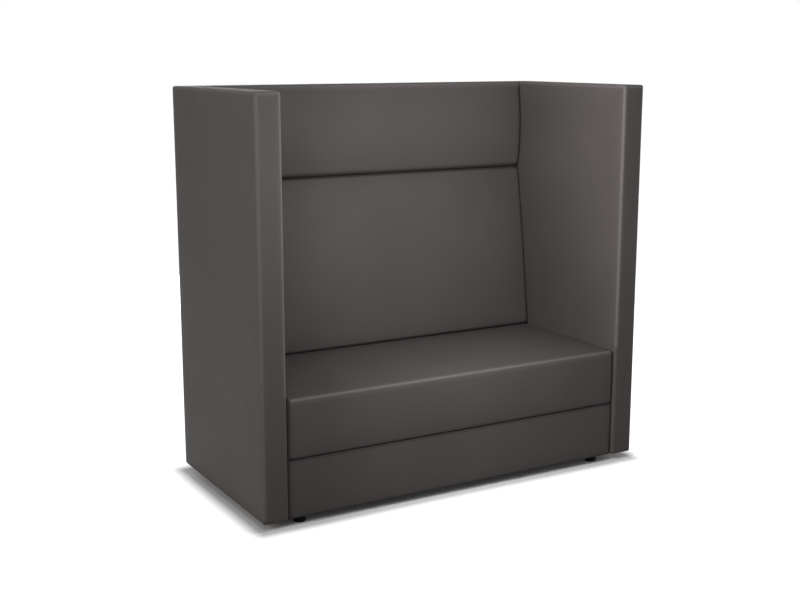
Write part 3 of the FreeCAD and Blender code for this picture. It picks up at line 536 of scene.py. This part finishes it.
round_edges(head, {
    HEAD_END: lambda middle, edge: head_rim(middle, edge) and not across(edge),
    HEAD_UNDER: lambda middle, edge: (head_rim(middle, edge) and across(edge)
                                      and at(middle.z, crease_z)),
    HEAD_EDGE: lambda middle, edge: (head_rim(middle, edge) and across(edge)
                                     and at(middle.z, top_z)),
})
cut_across(head, "x", steps(head_low.x + HEAD_END, head_high.x - HEAD_END, GRID))


def head_is_free(point):
    return (point.y < head_foot_y + FACE_SLACK and abs(point.x) < head_high.x - HEAD_END - NEAR
            and crease_z + HEAD_UNDER + NEAR < point.z < top_z - HEAD_EDGE - NEAR)


moved = swell(head, head_is_free, CUSHION_BULGE)
refine(head)
report_form("head pad form:", head, moved)

# %% Head pad leather and foam
head_foam = foam_inside(head, "head_padding")
head_cover = head
head_cover.name = "head_leather"
open_up(head_cover, lambda middle, face: middle.y > back_face - NEAR
        and abs(middle.x) < head_high.x - HEM and crease_z + HEM < middle.z < top_z - HEM)
# Painted highlight along the top edge, painted shade on the other edges.
wall(head_cover, lambda point: point.z > top_z - PAINTED_HIGHLIGHT_BAND)
print("head leather:", len(head_cover.data.polygons), "faces")

# %% [markdown]
# ## The lumbar cushion
# The cushion leans: it is thin at the crease and deep at the seat. So the block's lower front
# edge is pulled forward before anything else is done to it, the rows are pushed out square to the
# leaning face, and the rim is rounded. Its foot rests on the seat and stays flat.

# %% Lumbar cushion form
LUMBAR_EDGE = 0.006
LUMBAR_END = 0.014
LUMBAR_ARCH = 0.003
LUMBAR_TOP_DEPTH = 0.024
LUMBAR_FOOT_DEPTH = 0.1095
LUMBAR_FRONT = 0.02  # whatever is further forward than this belongs to the leaning face
LUMBAR_HELD = 0.02

lumbar_low, lumbar_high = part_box("lumbar_cover")
foot_z, lumbar_top_z = lumbar_low.z, lumbar_high.z
lumbar_top_y = back_face - LUMBAR_TOP_DEPTH
lumbar_foot_y = back_face - LUMBAR_FOOT_DEPTH

lumbar = block("lumbar_form", (lumbar_low.x, lumbar_top_y, foot_z),
               (lumbar_high.x, back_face, lumbar_top_z))
push(lumbar, lambda middle, part: at(middle.z, foot_z) and at(middle.y, lumbar_top_y),
     (0, lumbar_foot_y - lumbar_top_y, 0))
lumbar_rows = steps(foot_z, lumbar_top_z, FINE)
cut_across(lumbar, "z", lumbar_rows)
slope = Vector((0, lumbar_top_y - lumbar_foot_y, lumbar_top_z - foot_z)).normalized()
square = Vector((0, -slope.z, slope.y))
arch(lumbar, "z", lambda middle: middle.y < back_face - LUMBAR_FRONT, lumbar_rows, foot_z,
     lumbar_top_z, LUMBAR_ARCH, square)


def lumbar_rim(middle, edge):
    front = all(vertex.co.y < back_face - LUMBAR_FRONT for vertex in edge.verts)
    return front and (not across(edge) or at(middle.z, lumbar_top_z) or at(middle.z, foot_z))


round_edges(lumbar, {
    LUMBAR_END: lambda middle, edge: (lumbar_rim(middle, edge)
                                      and (not across(edge) or at(middle.z, foot_z))),
    LUMBAR_EDGE: lambda middle, edge: (lumbar_rim(middle, edge) and across(edge)
                                       and at(middle.z, lumbar_top_z)),
})
cut_across(lumbar, "x", steps(lumbar_low.x + LUMBAR_END, lumbar_high.x - LUMBAR_END, GRID))


def lumbar_is_free(point):
    return (point.y < lumbar_top_y + FACE_SLACK
            and abs(point.x) < lumbar_high.x - LUMBAR_END - NEAR
            and foot_z + LUMBAR_HELD < point.z < lumbar_top_z - LUMBAR_EDGE - NEAR)


moved = swell(lumbar, lumbar_is_free, CUSHION_BULGE)
refine(lumbar)
report_form("lumbar form:", lumbar, moved)

# %% [markdown]
# Behind the lumbar foam stands its board, at the same lean. So this foam isn't hollowed by a
# squared room: one bisection along the board's face takes the rear of it away and closes the cut.

# %% Lumbar leather and foam
board_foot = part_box("lumbar_board")[0]
lumbar_foam = foam_inside(lumbar, "lumbar_padding")
edit(lumbar_foam)
bpy.ops.mesh.select_all(action="SELECT")
bpy.ops.mesh.bisect(plane_co=(0, board_foot.y - CLEAR, board_foot.z), plane_no=square,
                    use_fill=True, clear_inner=True)
leave_edit()
lumbar_cover = lumbar
lumbar_cover.name = "lumbar_leather"
open_up(lumbar_cover, lambda middle, face: middle.y > back_face - NEAR
        and abs(middle.x) < lumbar_high.x - HEM and foot_z + HEM < middle.z < lumbar_top_z - HEM)
# No highlight: every edge of the lumbar leather takes painted shade.
wall(lumbar_cover, lambda point: False)
print("lumbar leather:", len(lumbar_cover.data.polygons), "faces")

# %% [markdown]
# ## The seat
# The seat is the one face that is sat on, so its foam is the thickest. Its top is a shallow arch
# up to the foot of the lumbar cushion, and flat behind, where the cushion stands on it. Its ends
# and its front corners are rounded the most, the long edge between top and front is tighter, and
# the lower front edge is the tightest, because it meets the plinth at a fine seam.

# %% Seat form
SEAT_EDGE = 0.007
SEAT_END = 0.013
SEAT_CORNER = 0.012
SEAM_EDGE = 0.005
SEAT_FRONT_ARCH = 0.002
SEAT_TOP_ARCH = 0.002
SEAT_CLEAR = 0.0005
FLAT_AHEAD = 0.007  # the flat begins this far ahead of the lumbar cushion's foot

seat_low, seat_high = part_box("seat_cover")
unit_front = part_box("plinth_cover")[0].y
unit_rear = seat_high.y
seat_base = seat_low.z
seat_top = foot_z - SEAT_CLEAR
seat_flat_y = lumbar_foot_y - FLAT_AHEAD

seat = block("seat_form", (seat_low.x, unit_front, seat_base), (seat_high.x, unit_rear, seat_top))
cut_across(seat, "y", [seat_flat_y])
top_rows = steps(unit_front, seat_flat_y, FINE)
cut_across(seat, "y", top_rows + steps(seat_flat_y, unit_rear, GRID))
front_rows = steps(seat_base, seat_top, FINE)
cut_across(seat, "z", front_rows)
arch(seat, "y", lambda middle: at(middle.z, seat_top), top_rows, unit_front, seat_flat_y,
     SEAT_TOP_ARCH, (0, 0, 1))
arch(seat, "z", lambda middle: at(middle.y, unit_front), front_rows, seat_base, seat_top,
     SEAT_FRONT_ARCH, (0, -1, 0))
print("seat block:", len(top_rows), "rows on its top,", len(front_rows), "on its front")


# %% Seat edges and swelling
SEAT_SHOULDER = 0.004
SEAM_HELD = 0.008


def on_top(edge):
    return all(vertex.co.z > seat_top - NEAR for vertex in edge.verts)


def in_front(edge):
    return all(vertex.co.y < unit_front + NEAR for vertex in edge.verts)


def at_end(middle):
    return abs(middle.x) > seat_high.x - NEAR


round_edges(seat, {
    SEAT_EDGE: lambda middle, edge: across(edge) and on_top(edge) and in_front(edge),
    SEAT_END: lambda middle, edge: on_top(edge) and at_end(middle),
    SEAT_CORNER: lambda middle, edge: in_front(edge) and at_end(middle),
    SEAM_EDGE: lambda middle, edge: across(edge) and in_front(edge) and at(middle.z, seat_base),
})
cut_across(seat, "x", steps(seat_low.x + SEAT_END, seat_high.x - SEAT_END, GRID))


def seat_is_free(point):
    inside = abs(point.x) < seat_high.x - SEAT_END - NEAR
    upper = (point.z > seat_top - NEAR
             and unit_front + SEAT_EDGE + SEAT_SHOULDER < point.y < seat_flat_y - NEAR)
    fore = (point.y < unit_front + NEAR
            and seat_base + SEAM_HELD < point.z < seat_top - SEAT_EDGE - SEAT_SHOULDER)
    return inside and (upper or fore)


moved = swell(seat, seat_is_free, CUSHION_BULGE)
refine(seat)
report_form("seat form:", seat, moved)

# %% [markdown]
# The seat's foam comes in two pieces, as an upholsterer glues it on: one big block on the webbing,
# and a strip on the face of the front rail. Both are cut from the same form. The leather is open
# underneath and behind. Only the long top front edge gets a painted highlight, and its other edges
# get painted shade.

# %% Seat leather and foam
rail_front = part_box("seat_rails")[0].y
foam_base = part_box("seat_foam")[0].z
seat_foam = foam_inside(seat, "seat_padding")
edge_foam = copy_of(seat_foam, "seat_edge_padding")
cut_away(seat_foam, (-FAR, -FAR, 0), (FAR, FAR, foam_base))
cut_away(edge_foam, (-FAR, -FAR, foam_base - CLEAR), (FAR, FAR, FAR))
cut_away(edge_foam, (-FAR, rail_front - CLEAR, 0), (FAR, FAR, FAR))
seat_cover = seat
seat_cover.name = "seat_leather"


def seat_is_open(middle, face):
    below = middle.z < seat_base + NEAR and middle.y > unit_front + HEM
    behind = middle.y > unit_rear - NEAR and middle.z < seat_top - HEM
    return abs(middle.x) < seat_high.x - HEM and (below or behind)


def seat_is_highlit(point):
    return (point.y < unit_front + PAINTED_HIGHLIGHT_BAND and point.z > seat_top - PAINTED_HIGHLIGHT_BAND
            and abs(point.x) < seat_high.x - SEAT_CORNER)


open_up(seat_cover, seat_is_open)
wall(seat_cover, seat_is_highlit)
print("seat leather:", len(seat_cover.data.polygons), "faces")

# %% [markdown]
# ## The plinth
# The plinth carries the seat. Only its front is padded, thinly, so its leather is the flattest of
# all, wrapped round the timber box and stapled underneath. It stays a plain tight wrapper with
# rounded front corners and small rounded edges.

# %% Plinth form
PLINTH_EDGE = 0.005
PLINTH_CORNER = 0.012
PLINTH_BULGE = 0.001
EDGE_HELD = 0.01

plinth_low, plinth_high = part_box("plinth_cover")
plinth = block("plinth_form", plinth_low, plinth_high)
round_edges(plinth, {
    PLINTH_CORNER: lambda middle, edge: middle.y < plinth_low.y + NEAR and not across(edge),
    PLINTH_EDGE: lambda middle, edge: middle.y < plinth_low.y + NEAR and across(edge),
})
cut_across(plinth, "x", [-plinth_high.x + HEM, plinth_high.x - HEM]
           + steps(-plinth_high.x + HEM, plinth_high.x - HEM, GRID))
cut_across(plinth, "y", [plinth_low.y + HEM] + steps(plinth_low.y + HEM, plinth_high.y, GRID))
cut_across(plinth, "z", steps(plinth_low.z + PLINTH_EDGE, plinth_high.z - PLINTH_EDGE, FINE))


def plinth_is_free(point):
    return (point.y < plinth_low.y + NEAR and abs(point.x) < plinth_high.x - PLINTH_CORNER - NEAR
            and plinth_low.z + EDGE_HELD < point.z < plinth_high.z - EDGE_HELD)


moved = swell(plinth, plinth_is_free, PLINTH_BULGE)
refine(plinth)
report_form("plinth form:", plinth, moved)

# %% Plinth leather and foam
plinth_foam = foam_inside(plinth, "plinth_padding")
cut_away(plinth_foam, (-FAR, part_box("plinth_rails")[0].y - CLEAR, -FAR), (FAR, FAR, FAR))
plinth_cover = plinth
plinth_cover.name = "plinth_leather"
open_up(plinth_cover, lambda middle, face: middle.y > plinth_high.y - NEAR
        or (middle.y > plinth_low.y + HEM and abs(middle.x) < plinth_high.x - HEM))
# Every edge of the plinth leather takes painted shade.
wall(plinth_cover, lambda point: False)
print("plinth leather:", len(plinth_cover.data.polygons), "faces")

# %% [markdown]
# ## The back's rear cover
# Behind, the back is a board with thin foam on it, and one piece of leather runs over the top and
# down the rear. It ends at the head pad in front, out of sight. Its foam is folded over the
# frame's top edge in the same way, so both are made from one block with the frame's room cut
# away.

# %% Rear cover form
BACK_EDGE = 0.004

shell_low, shell_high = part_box("back_rear_cover")
shell = block("back_form", shell_low, shell_high)
round_edges(shell, {BACK_EDGE: lambda middle, edge: middle.y > shell_high.y - NEAR})
cut_across(shell, "x", [-shell_high.x + HEM, shell_high.x - HEM]
           + steps(-shell_high.x + HEM, shell_high.x - HEM, GRID))
cut_across(shell, "z", steps(shell_low.z + BACK_EDGE, shell_high.z - BACK_EDGE, GRID))


def shell_is_free(point):
    return (point.y > shell_high.y - NEAR and abs(point.x) < shell_high.x - BACK_EDGE - NEAR
            and shell_low.z + STAPLED < point.z < shell_high.z - EDGE_HELD)


moved = swell(shell, shell_is_free, TIGHT_BULGE)
refine(shell)
report_form("rear form:", shell, moved)

# %% Rear leather and foam
rear_foam = foam_inside(shell, "back_rear_padding")
board_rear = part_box("back_rear_board")[1].y
timber_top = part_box("back_front_board")[1].z
cut_away(rear_foam, (-FAR, 0, -FAR), (FAR, board_rear + CLEAR, timber_top + CLEAR))
rear_cover = shell
rear_cover.name = "back_rear_leather"
open_up(rear_cover, lambda middle, face: middle.y < shell_low.y + NEAR
        or (middle.z < shell_low.z + NEAR and abs(middle.x) < shell_high.x - HEM))
# Painted highlight along the top edge, painted shade on the other edges.
wall(rear_cover, lambda point: point.z > shell_high.z - PAINTED_HIGHLIGHT_BAND)
print("rear leather:", len(rear_cover.data.polygons), "faces")

# %% [markdown]
# ## Finishes
# A finish is a small network of nodes: a pattern in space gives a number at every point, and that
# number is turned into a colour, a roughness or a relief. A few helpers for the nodes that every
# finish needs keep each recipe as short as it would be on paper.

# %% Helpers for finishes
def shader(name):
    """A new material: its tree of nodes, its surface, and the place on the piece in metres."""
    material = bpy.data.materials.new(name)
    material.use_nodes = True
    tree = material.node_tree
    place = tree.nodes.new("ShaderNodeTexCoord")
    return material, tree, tree.nodes["Principled BSDF"], place.outputs["Object"]


def noise(tree, vector, scale, detail=3.0, roughness=0.55):
    node = tree.nodes.new("ShaderNodeTexNoise")
    node.inputs["Scale"].default_value = scale
    node.inputs["Detail"].default_value = detail
    node.inputs["Roughness"].default_value = roughness
    tree.links.new(vector, node.inputs["Vector"])
    return node.outputs["Fac"]


def ramp(tree, factor, stops):
    """A colour ramp from two (position, colour) pairs."""
    node = tree.nodes.new("ShaderNodeValToRGB")
    for element, (position, colour) in zip(node.color_ramp.elements, stops):
        element.position = position
        element.color = (*colour, 1.0)
    tree.links.new(factor, node.inputs["Fac"])
    return node.outputs["Color"]


def bump(tree, height, strength, distance, normal=None):
    node = tree.nodes.new("ShaderNodeBump")
    node.inputs["Strength"].default_value = strength
    node.inputs["Distance"].default_value = distance
    tree.links.new(height, node.inputs["Height"])
    if normal is not None:
        tree.links.new(normal, node.inputs["Normal"])
    return node.outputs["Normal"]


def between(tree, value, start, end, low, high):
    """Turn start..end into low..high, and hold it there outside."""
    node = tree.nodes.new("ShaderNodeMapRange")
    node.inputs["From Min"].default_value = start
    node.inputs["From Max"].default_value = end
    node.inputs["To Min"].default_value = low
    node.inputs["To Max"].default_value = high
    tree.links.new(value, node.inputs["Value"])
    return node.outputs["Result"]


def math_of(tree, operation, first, second, clamp=False):
    """Combine a socket with another socket, or with a plain number."""
    node = tree.nodes.new("ShaderNodeMath")
    node.operation = operation
    node.use_clamp = clamp
    tree.links.new(first, node.inputs[0])
    if isinstance(second, bpy.types.NodeSocket):
        tree.links.new(second, node.inputs[1])
    else:
        node.inputs[1].default_value = second
    return node.outputs[0]


def tinted(tree, factor, colour, tint):
    """Blend a colour towards a tint."""
    node = tree.nodes.new("ShaderNodeMix")
    node.data_type = "RGBA"
    node.inputs["B"].default_value = (*tint, 1.0)
    tree.links.new(factor, node.inputs["Factor"])
    tree.links.new(colour, node.inputs["A"])
    return node.outputs["Result"]


# %% [markdown]
# ## Leather
# The cover is a smooth, dark, warm-grey leather with a satin finish. From a few steps away it is
# nearly even, but no hide is: its colour drifts softly from one hand's breadth to the next, and
# fine pebble grain breaks up the shine. The outer edges get a lighter painted highlight, in
# patches, and the edges down in the gaps get a darker painted shade. Both read the mark stored on
# the covers.

# %% Leather material
LEATHER_DARK = (0.080, 0.0716, 0.0692)
LEATHER_LIGHT = (0.092, 0.0823, 0.0796)
# The colour of the painted highlight on the edges, then of the painted shade in the gaps, and how
# much of that shade is laid on.
PAINTED_HIGHLIGHT = (0.148, 0.1355, 0.1312)
PAINTED_GAP_SHADE = (0.018, 0.0160, 0.0155)
PAINTED_GAP_SHADE_SHARE = 0.65

leather, tree, surface, where = shader("satin_leather")
drift = noise(tree, where, scale=2.4, detail=2.0)
hide = ramp(tree, drift, [(0.3, LEATHER_DARK), (0.7, LEATHER_LIGHT)])
# The stored mark lays the painted highlight on the edges and the painted shade in the gaps.
mark = tree.nodes.new("ShaderNodeAttribute")
mark.attribute_name = "painted_highlight_and_shade"
patches = between(tree, noise(tree, where, scale=30.0, detail=2.0), 0, 1, 0.55, 1.0)
highlight_share = math_of(tree, "MULTIPLY", mark.outputs["Fac"], patches, clamp=True)
gap_shade_share = math_of(tree, "MULTIPLY", mark.outputs["Fac"], -PAINTED_GAP_SHADE_SHARE, clamp=True)
highlighted = tinted(tree, highlight_share, hide, PAINTED_HIGHLIGHT)
tree.links.new(tinted(tree, gap_shade_share, highlighted, PAINTED_GAP_SHADE), surface.inputs["Base Color"])

pebbles = tree.nodes.new("ShaderNodeTexVoronoi")
pebbles.feature = "SMOOTH_F1"
pebbles.inputs["Scale"].default_value = 620.0
tree.links.new(where, pebbles.inputs["Vector"])
soft_grain = bump(tree, noise(tree, where, scale=90.0), strength=0.12, distance=0.0008)
grain = bump(tree, pebbles.outputs["Distance"], strength=0.12, distance=0.0003, normal=soft_grain)
tree.links.new(grain, surface.inputs["Normal"])
satin = between(tree, noise(tree, where, scale=14.0), 0, 1, 0.44, 0.56)
tree.links.new(satin, surface.inputs["Roughness"])
surface.inputs["Specular IOR Level"].default_value = 0.06
print("leather ready")

# %% [markdown]
# ## What lies inside
# Nobody sees the frame, but a cutaway or an exploded view does, so each material inside has its
# own surface: planed softwood with its grain along each timber, plywood, brown fibreboard, felt
# slabs, cut foam, woven webbing, and zinc on the hardware.

# %% Timber and plywood
ACROSS_GRAIN = 9.0
ALONG_GRAIN = 0.6


def stretched(tree, vector, scale):
    """Stretch a pattern along an axis."""
    node = tree.nodes.new("ShaderNodeMapping")
    node.inputs["Scale"].default_value = scale
    tree.links.new(vector, node.inputs["Vector"])
    return node.outputs["Vector"]


def wood(name, along, pale, dark):
    """Planed timber whose grain runs along one axis."""
    material, tree, surface, where = shader(name)
    scale = [ALONG_GRAIN if axis == along else ACROSS_GRAIN for axis in "xyz"]
    fibres = stretched(tree, where, scale)
    rings = noise(tree, fibres, scale=7.0, detail=4.0, roughness=0.6)
    pores = noise(tree, fibres, scale=40.0, detail=2.0)
    tree.links.new(ramp(tree, rings, [(0.35, pale), (0.62, dark)]), surface.inputs["Base Color"])
    tree.links.new(bump(tree, pores, strength=0.25, distance=0.0004), surface.inputs["Normal"])
    tree.links.new(between(tree, rings, 0, 1, 0.55, 0.7), surface.inputs["Roughness"])
    return material


SOFTWOOD = {"pale": (0.55, 0.33, 0.15), "dark": (0.38, 0.20, 0.08)}
PLY = {"pale": (0.60, 0.40, 0.20), "dark": (0.46, 0.29, 0.13)}
timber = {along: wood("softwood_along_" + along, along, **SOFTWOOD) for along in "xyz"}
plywood = {along: wood("plywood_along_" + along, along, **PLY) for along in "xz"}
print("timber and plywood ready")


# %% Boards, felt, foam and lining
def speckled(name, pale, dark, scale, depth, rough):
    """A pressed, foamed or felted stuff: fine speckle in colour and relief."""
    material, tree, surface, where = shader(name)
    speck = noise(tree, where, scale, detail=5.0, roughness=0.7)
    tree.links.new(ramp(tree, speck, [(0.35, dark), (0.65, pale)]), surface.inputs["Base Color"])
    tree.links.new(bump(tree, speck, strength=0.5, distance=depth), surface.inputs["Normal"])
    surface.inputs["Roughness"].default_value = rough
    return material


fibreboard = speckled("brown_fibreboard", pale=(0.22, 0.12, 0.06), dark=(0.13, 0.07, 0.035),
                      scale=160.0, depth=0.0004, rough=0.75)
felt = speckled("fibre_felt", pale=(0.30, 0.31, 0.30), dark=(0.14, 0.15, 0.15),
                scale=90.0, depth=0.003, rough=1.0)
foam = speckled("cut_foam", pale=(0.70, 0.66, 0.48), dark=(0.55, 0.51, 0.36),
                scale=260.0, depth=0.0012, rough=1.0)
lining = speckled("black_lining_cloth", pale=(0.012, 0.012, 0.013), dark=(0.006, 0.006, 0.006),
                  scale=300.0, depth=0.0005, rough=0.95)
print("boards, felt, foam and lining ready")

# %% Webbing, nylon and zinc
WEB_DARK, WEB_PALE = (0.006, 0.006, 0.007), (0.030, 0.030, 0.034)
NYLON_DARK, NYLON_PALE = (0.003, 0.003, 0.003), (0.006, 0.006, 0.006)
ZINC_DARK, ZINC_PALE = (0.52, 0.53, 0.54), (0.64, 0.65, 0.66)

webbing, tree, surface, where = shader("elastic_webbing")
weave = tree.nodes.new("ShaderNodeTexWave")
weave.inputs["Scale"].default_value = 90.0
weave.inputs["Distortion"].default_value = 0.6
tree.links.new(where, weave.inputs["Vector"])
threads = weave.outputs["Fac"]
strands = ramp(tree, threads, [(0.2, WEB_DARK), (0.8, WEB_PALE)])
tree.links.new(strands, surface.inputs["Base Color"])
tree.links.new(bump(tree, threads, strength=0.6, distance=0.0005), surface.inputs["Normal"])
surface.inputs["Roughness"].default_value = 0.8

nylon, tree, surface, where = shader("moulded_nylon")
skin = noise(tree, where, scale=700.0, detail=2.0)
cloud = noise(tree, where, scale=40.0)
black = ramp(tree, cloud, [(0.3, NYLON_DARK), (0.7, NYLON_PALE)])
tree.links.new(black, surface.inputs["Base Color"])
tree.links.new(bump(tree, skin, strength=0.15, distance=0.0002), surface.inputs["Normal"])
tree.links.new(between(tree, skin, 0, 1, 0.50, 0.64), surface.inputs["Roughness"])
surface.inputs["Specular IOR Level"].default_value = 0.08

zinc, tree, surface, where = shader("zinc_plated_steel")
plating = noise(tree, where, scale=180.0)
grey = ramp(tree, plating, [(0.3, ZINC_DARK), (0.7, ZINC_PALE)])
tree.links.new(grey, surface.inputs["Base Color"])
tree.links.new(between(tree, plating, 0, 1, 0.28, 0.42), surface.inputs["Roughness"])
tree.links.new(bump(tree, plating, strength=0.1, distance=0.0002), surface.inputs["Normal"])
surface.inputs["Metallic"].default_value = 1.0
print("webbing, nylon and zinc ready")

# %% [markdown]
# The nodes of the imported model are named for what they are, so a word in the name finds the
# finish. The first word that fits counts, so the narrower words stand above the wider ones.

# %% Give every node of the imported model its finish
FINISH_BY_WORD = [
    ("stiles", timber["z"]), ("uprights", timber["z"]), ("plinth_cross", timber["y"]),
    ("seat_cross", timber["y"]), ("side_rails", timber["y"]), ("rails", timber["x"]),
    ("corner_blocks", timber["z"]), ("foot_blocks", timber["x"]), ("dowels", timber["z"]),
    ("infill", felt),
    ("side_outer_board", fibreboard), ("side_inner_board", fibreboard),
    ("back_rear_board", fibreboard),
    ("lumbar_board", plywood["x"]), ("back_front_board", plywood["x"]),
    ("battens", plywood["x"]), ("ribs", plywood["z"]),
    ("webbing", webbing), ("lining", lining), ("foot_pad", nylon),
    ("foot_stud", zinc), ("tee_nuts", zinc), ("bolts", zinc), ("inserts", zinc),
    ("foam", foam), ("cover", leather),
]


def dress(thing, material):
    while len(thing.material_slots) < 1:
        thing.data.materials.append(None)
    for place in thing.material_slots:
        place.link = "OBJECT"
        place.material = material


for name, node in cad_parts.items():
    dress(node, next(finish for word, finish in FINISH_BY_WORD if word in name))
print(len(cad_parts), "nodes dressed")

# %% [markdown]
# ## Put each piece where it belongs
# Each leather and foam piece rides on the settee's own body and takes its finish, and the plain
# solid of the imported model that it replaces is hidden.

# %% Pieces ride and replace
LEATHERS = {
    left_cover: "left_side_cover", right_cover: "right_side_cover", head_cover: "head_cover",
    lumbar_cover: "lumbar_cover", seat_cover: "seat_cover", plinth_cover: "plinth_cover",
    rear_cover: "back_rear_cover",
}
FOAMS = {
    left_foam: "left_side_foam", right_foam: "right_side_foam", head_foam: "head_foam",
    lumbar_foam: "lumbar_foam", seat_foam: "seat_foam", edge_foam: "seat_edge_foam",
    plinth_foam: "plinth_foam", rear_foam: "back_rear_foam",
}
for pieces, material, slot_name in ((LEATHERS, leather, "cover_leather"), (FOAMS, foam, "foam")):
    for piece, node in pieces.items():
        piece.data.materials.clear()
        piece.data.materials.append(material)
        smooth(piece)
        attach(piece, "settee")
        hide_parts(node)
print(len(LEATHERS) + len(FOAMS), "soft pieces in place")

# %% [markdown]
# ## Floor
# The weaker glow close to the settee is a painted shadow round the footprint, on top of the shadow
# that the lamps cast.
# The settee stands on a plain pale floor that looks white to the camera and still takes a shadow.
# Close to the settee the floor is an ordinary pale surface, so the shadow shows there. Within a
# hand's breadth it turns to glowing of itself, plain white, as the ground in the photograph is.
# Light that bounces on from the floor finds it darker, and so it doesn't wash out the settee from
# below.

# %% Distance and rays
def vector_math(tree, operation, first, second=None):
    node = tree.nodes.new("ShaderNodeVectorMath")
    node.operation = operation
    tree.links.new(first, node.inputs[0])
    if second is not None:
        node.inputs[1].default_value = second
    return node.outputs["Value"] if operation == "LENGTH" else node.outputs["Vector"]


def seen_directly(tree):
    """1 for what the camera, a reflection or a clear pane sees, 0 for light that bounces on."""
    rays = tree.nodes.new("ShaderNodeLightPath")
    both = math_of(tree, "MAXIMUM", rays.outputs["Is Camera Ray"], rays.outputs["Is Glossy Ray"])
    return math_of(tree, "MAXIMUM", both, rays.outputs["Is Transmission Ray"])


# %% Floor
FLOOR_SIZE = 40
FLOOR_GAP = 0.0005
FOOTPRINT = (frame_box[1].x, frame_box[1].y, 10.0)  # half the settee's width and depth
FLOOR_SEEN = (0.80, 0.80, 0.80)
FLOOR_BOUNCING = (0.25, 0.25, 0.25)
# the glow fades towards the footprint, which paints a contact shadow
GLOW_FROM, GLOW_FULL = 0.005, 0.065  # distances from the footprint
GLOW_LEAST = 0.02

bpy.ops.object.select_all(action="DESELECT")
bpy.ops.mesh.primitive_plane_add(size=FLOOR_SIZE, location=(0, 0, -FLOOR_GAP))
floor = bpy.context.object
floor.name = "studio_floor"

floor_material, tree, surface, where = shader("pale_floor")
outside = vector_math(tree, "ABSOLUTE", where)
outside = vector_math(tree, "SUBTRACT", outside, FOOTPRINT)
outside = vector_math(tree, "MAXIMUM", outside, (0, 0, 0))
distance = vector_math(tree, "LENGTH", outside)
seen = seen_directly(tree)
tone = between(tree, noise(tree, where, scale=1.5), 0, 1, 0.98, 1.0)
paint = ramp(tree, math_of(tree, "MULTIPLY", seen, tone),
             [(0.0, FLOOR_BOUNCING), (1.0, FLOOR_SEEN)])
glow = between(tree, distance, GLOW_FROM, GLOW_FULL, GLOW_LEAST, 1.0)
tree.links.new(paint, surface.inputs["Base Color"])
tree.links.new(math_of(tree, "MULTIPLY", seen, glow), surface.inputs["Emission Strength"])
surface.inputs["Emission Color"].default_value = (1, 1, 1, 1)
surface.inputs["Roughness"].default_value = 0.9
surface.inputs["Specular IOR Level"].default_value = 0.0
dress(floor, floor_material)
print("floor glows in full from", GLOW_FULL, "m outside the footprint")

# %% [markdown]
# ## Light
# All lamps are large, soft and hidden from the camera. The key stands on the left and gives the
# outer side its tone, a weak fill on the right opens the front, and three small ones reach into
# the booth: on the inner face of the right side, over the left arm on to the seat, and on to the
# back. Two more light the rear and the right outer side, which the photograph doesn't show. They
# stand low, because higher up they would draw a bright line along the tops of the panels.

# %% World and lamps
AMBIENT = 0.06

world = bpy.data.worlds.new("studio")
scene.world = world
world.use_nodes = True
tree = world.node_tree
background = tree.nodes["Background"]
background.inputs["Color"].default_value = (1, 1, 1, 1)
strength = between(tree, seen_directly(tree), 0, 1, AMBIENT, 1.0)
tree.links.new(strength, background.inputs["Strength"])


def lamp(name, place, aim, size, watts):
    """A soft square lamp, pointed at a place, that the camera itself doesn't see."""
    data = bpy.data.lights.new(name, "AREA")
    data.shape = "RECTANGLE"
    data.size, data.size_y = size
    data.energy = watts
    thing = bpy.data.objects.new(name, data)
    thing.location = place
    thing.rotation_euler = (Vector(aim) - Vector(place)).to_track_quat("-Z", "Y").to_euler()
    thing.visible_camera = False
    scene.collection.objects.link(thing)


# Name, place, what it points at, width and height, watts.
LAMPS = [
    ("key_left", (-3.5, -0.8, 1.6), (0, 0, 0.7), (2.0, 1.6), 34),
    ("fill_right", (3.2, -3.0, 1.4), (0, 0, 0.7), (2.0, 2.0), 5),
    ("into_the_booth", (-0.5, -0.9, 1.4), (0.645, -1.1, 1.3), (0.5, 0.8), 21),
    ("over_the_arm", (-1.2, -1.8, 1.7), (0.4, -0.2, 0.9), (1.0, 1.0), 15),
    ("onto_the_back", (0.1, -0.85, 1.2), (-0.55, 0.0, 1.15), (0.5, 0.7), 9),
    ("rear", (0.8, 4.0, 0.9), (0, 0.345, 0.7), (2.5, 1.6), 90),
    ("right_side", (4.2, 0.6, 0.9), (0.73, 0, 0.7), (2.0, 1.6), 60),
]
for facts in LAMPS:
    lamp(*facts)
scene.view_settings.view_transform = "Standard"
print("world and", len(LAMPS), "lamps")
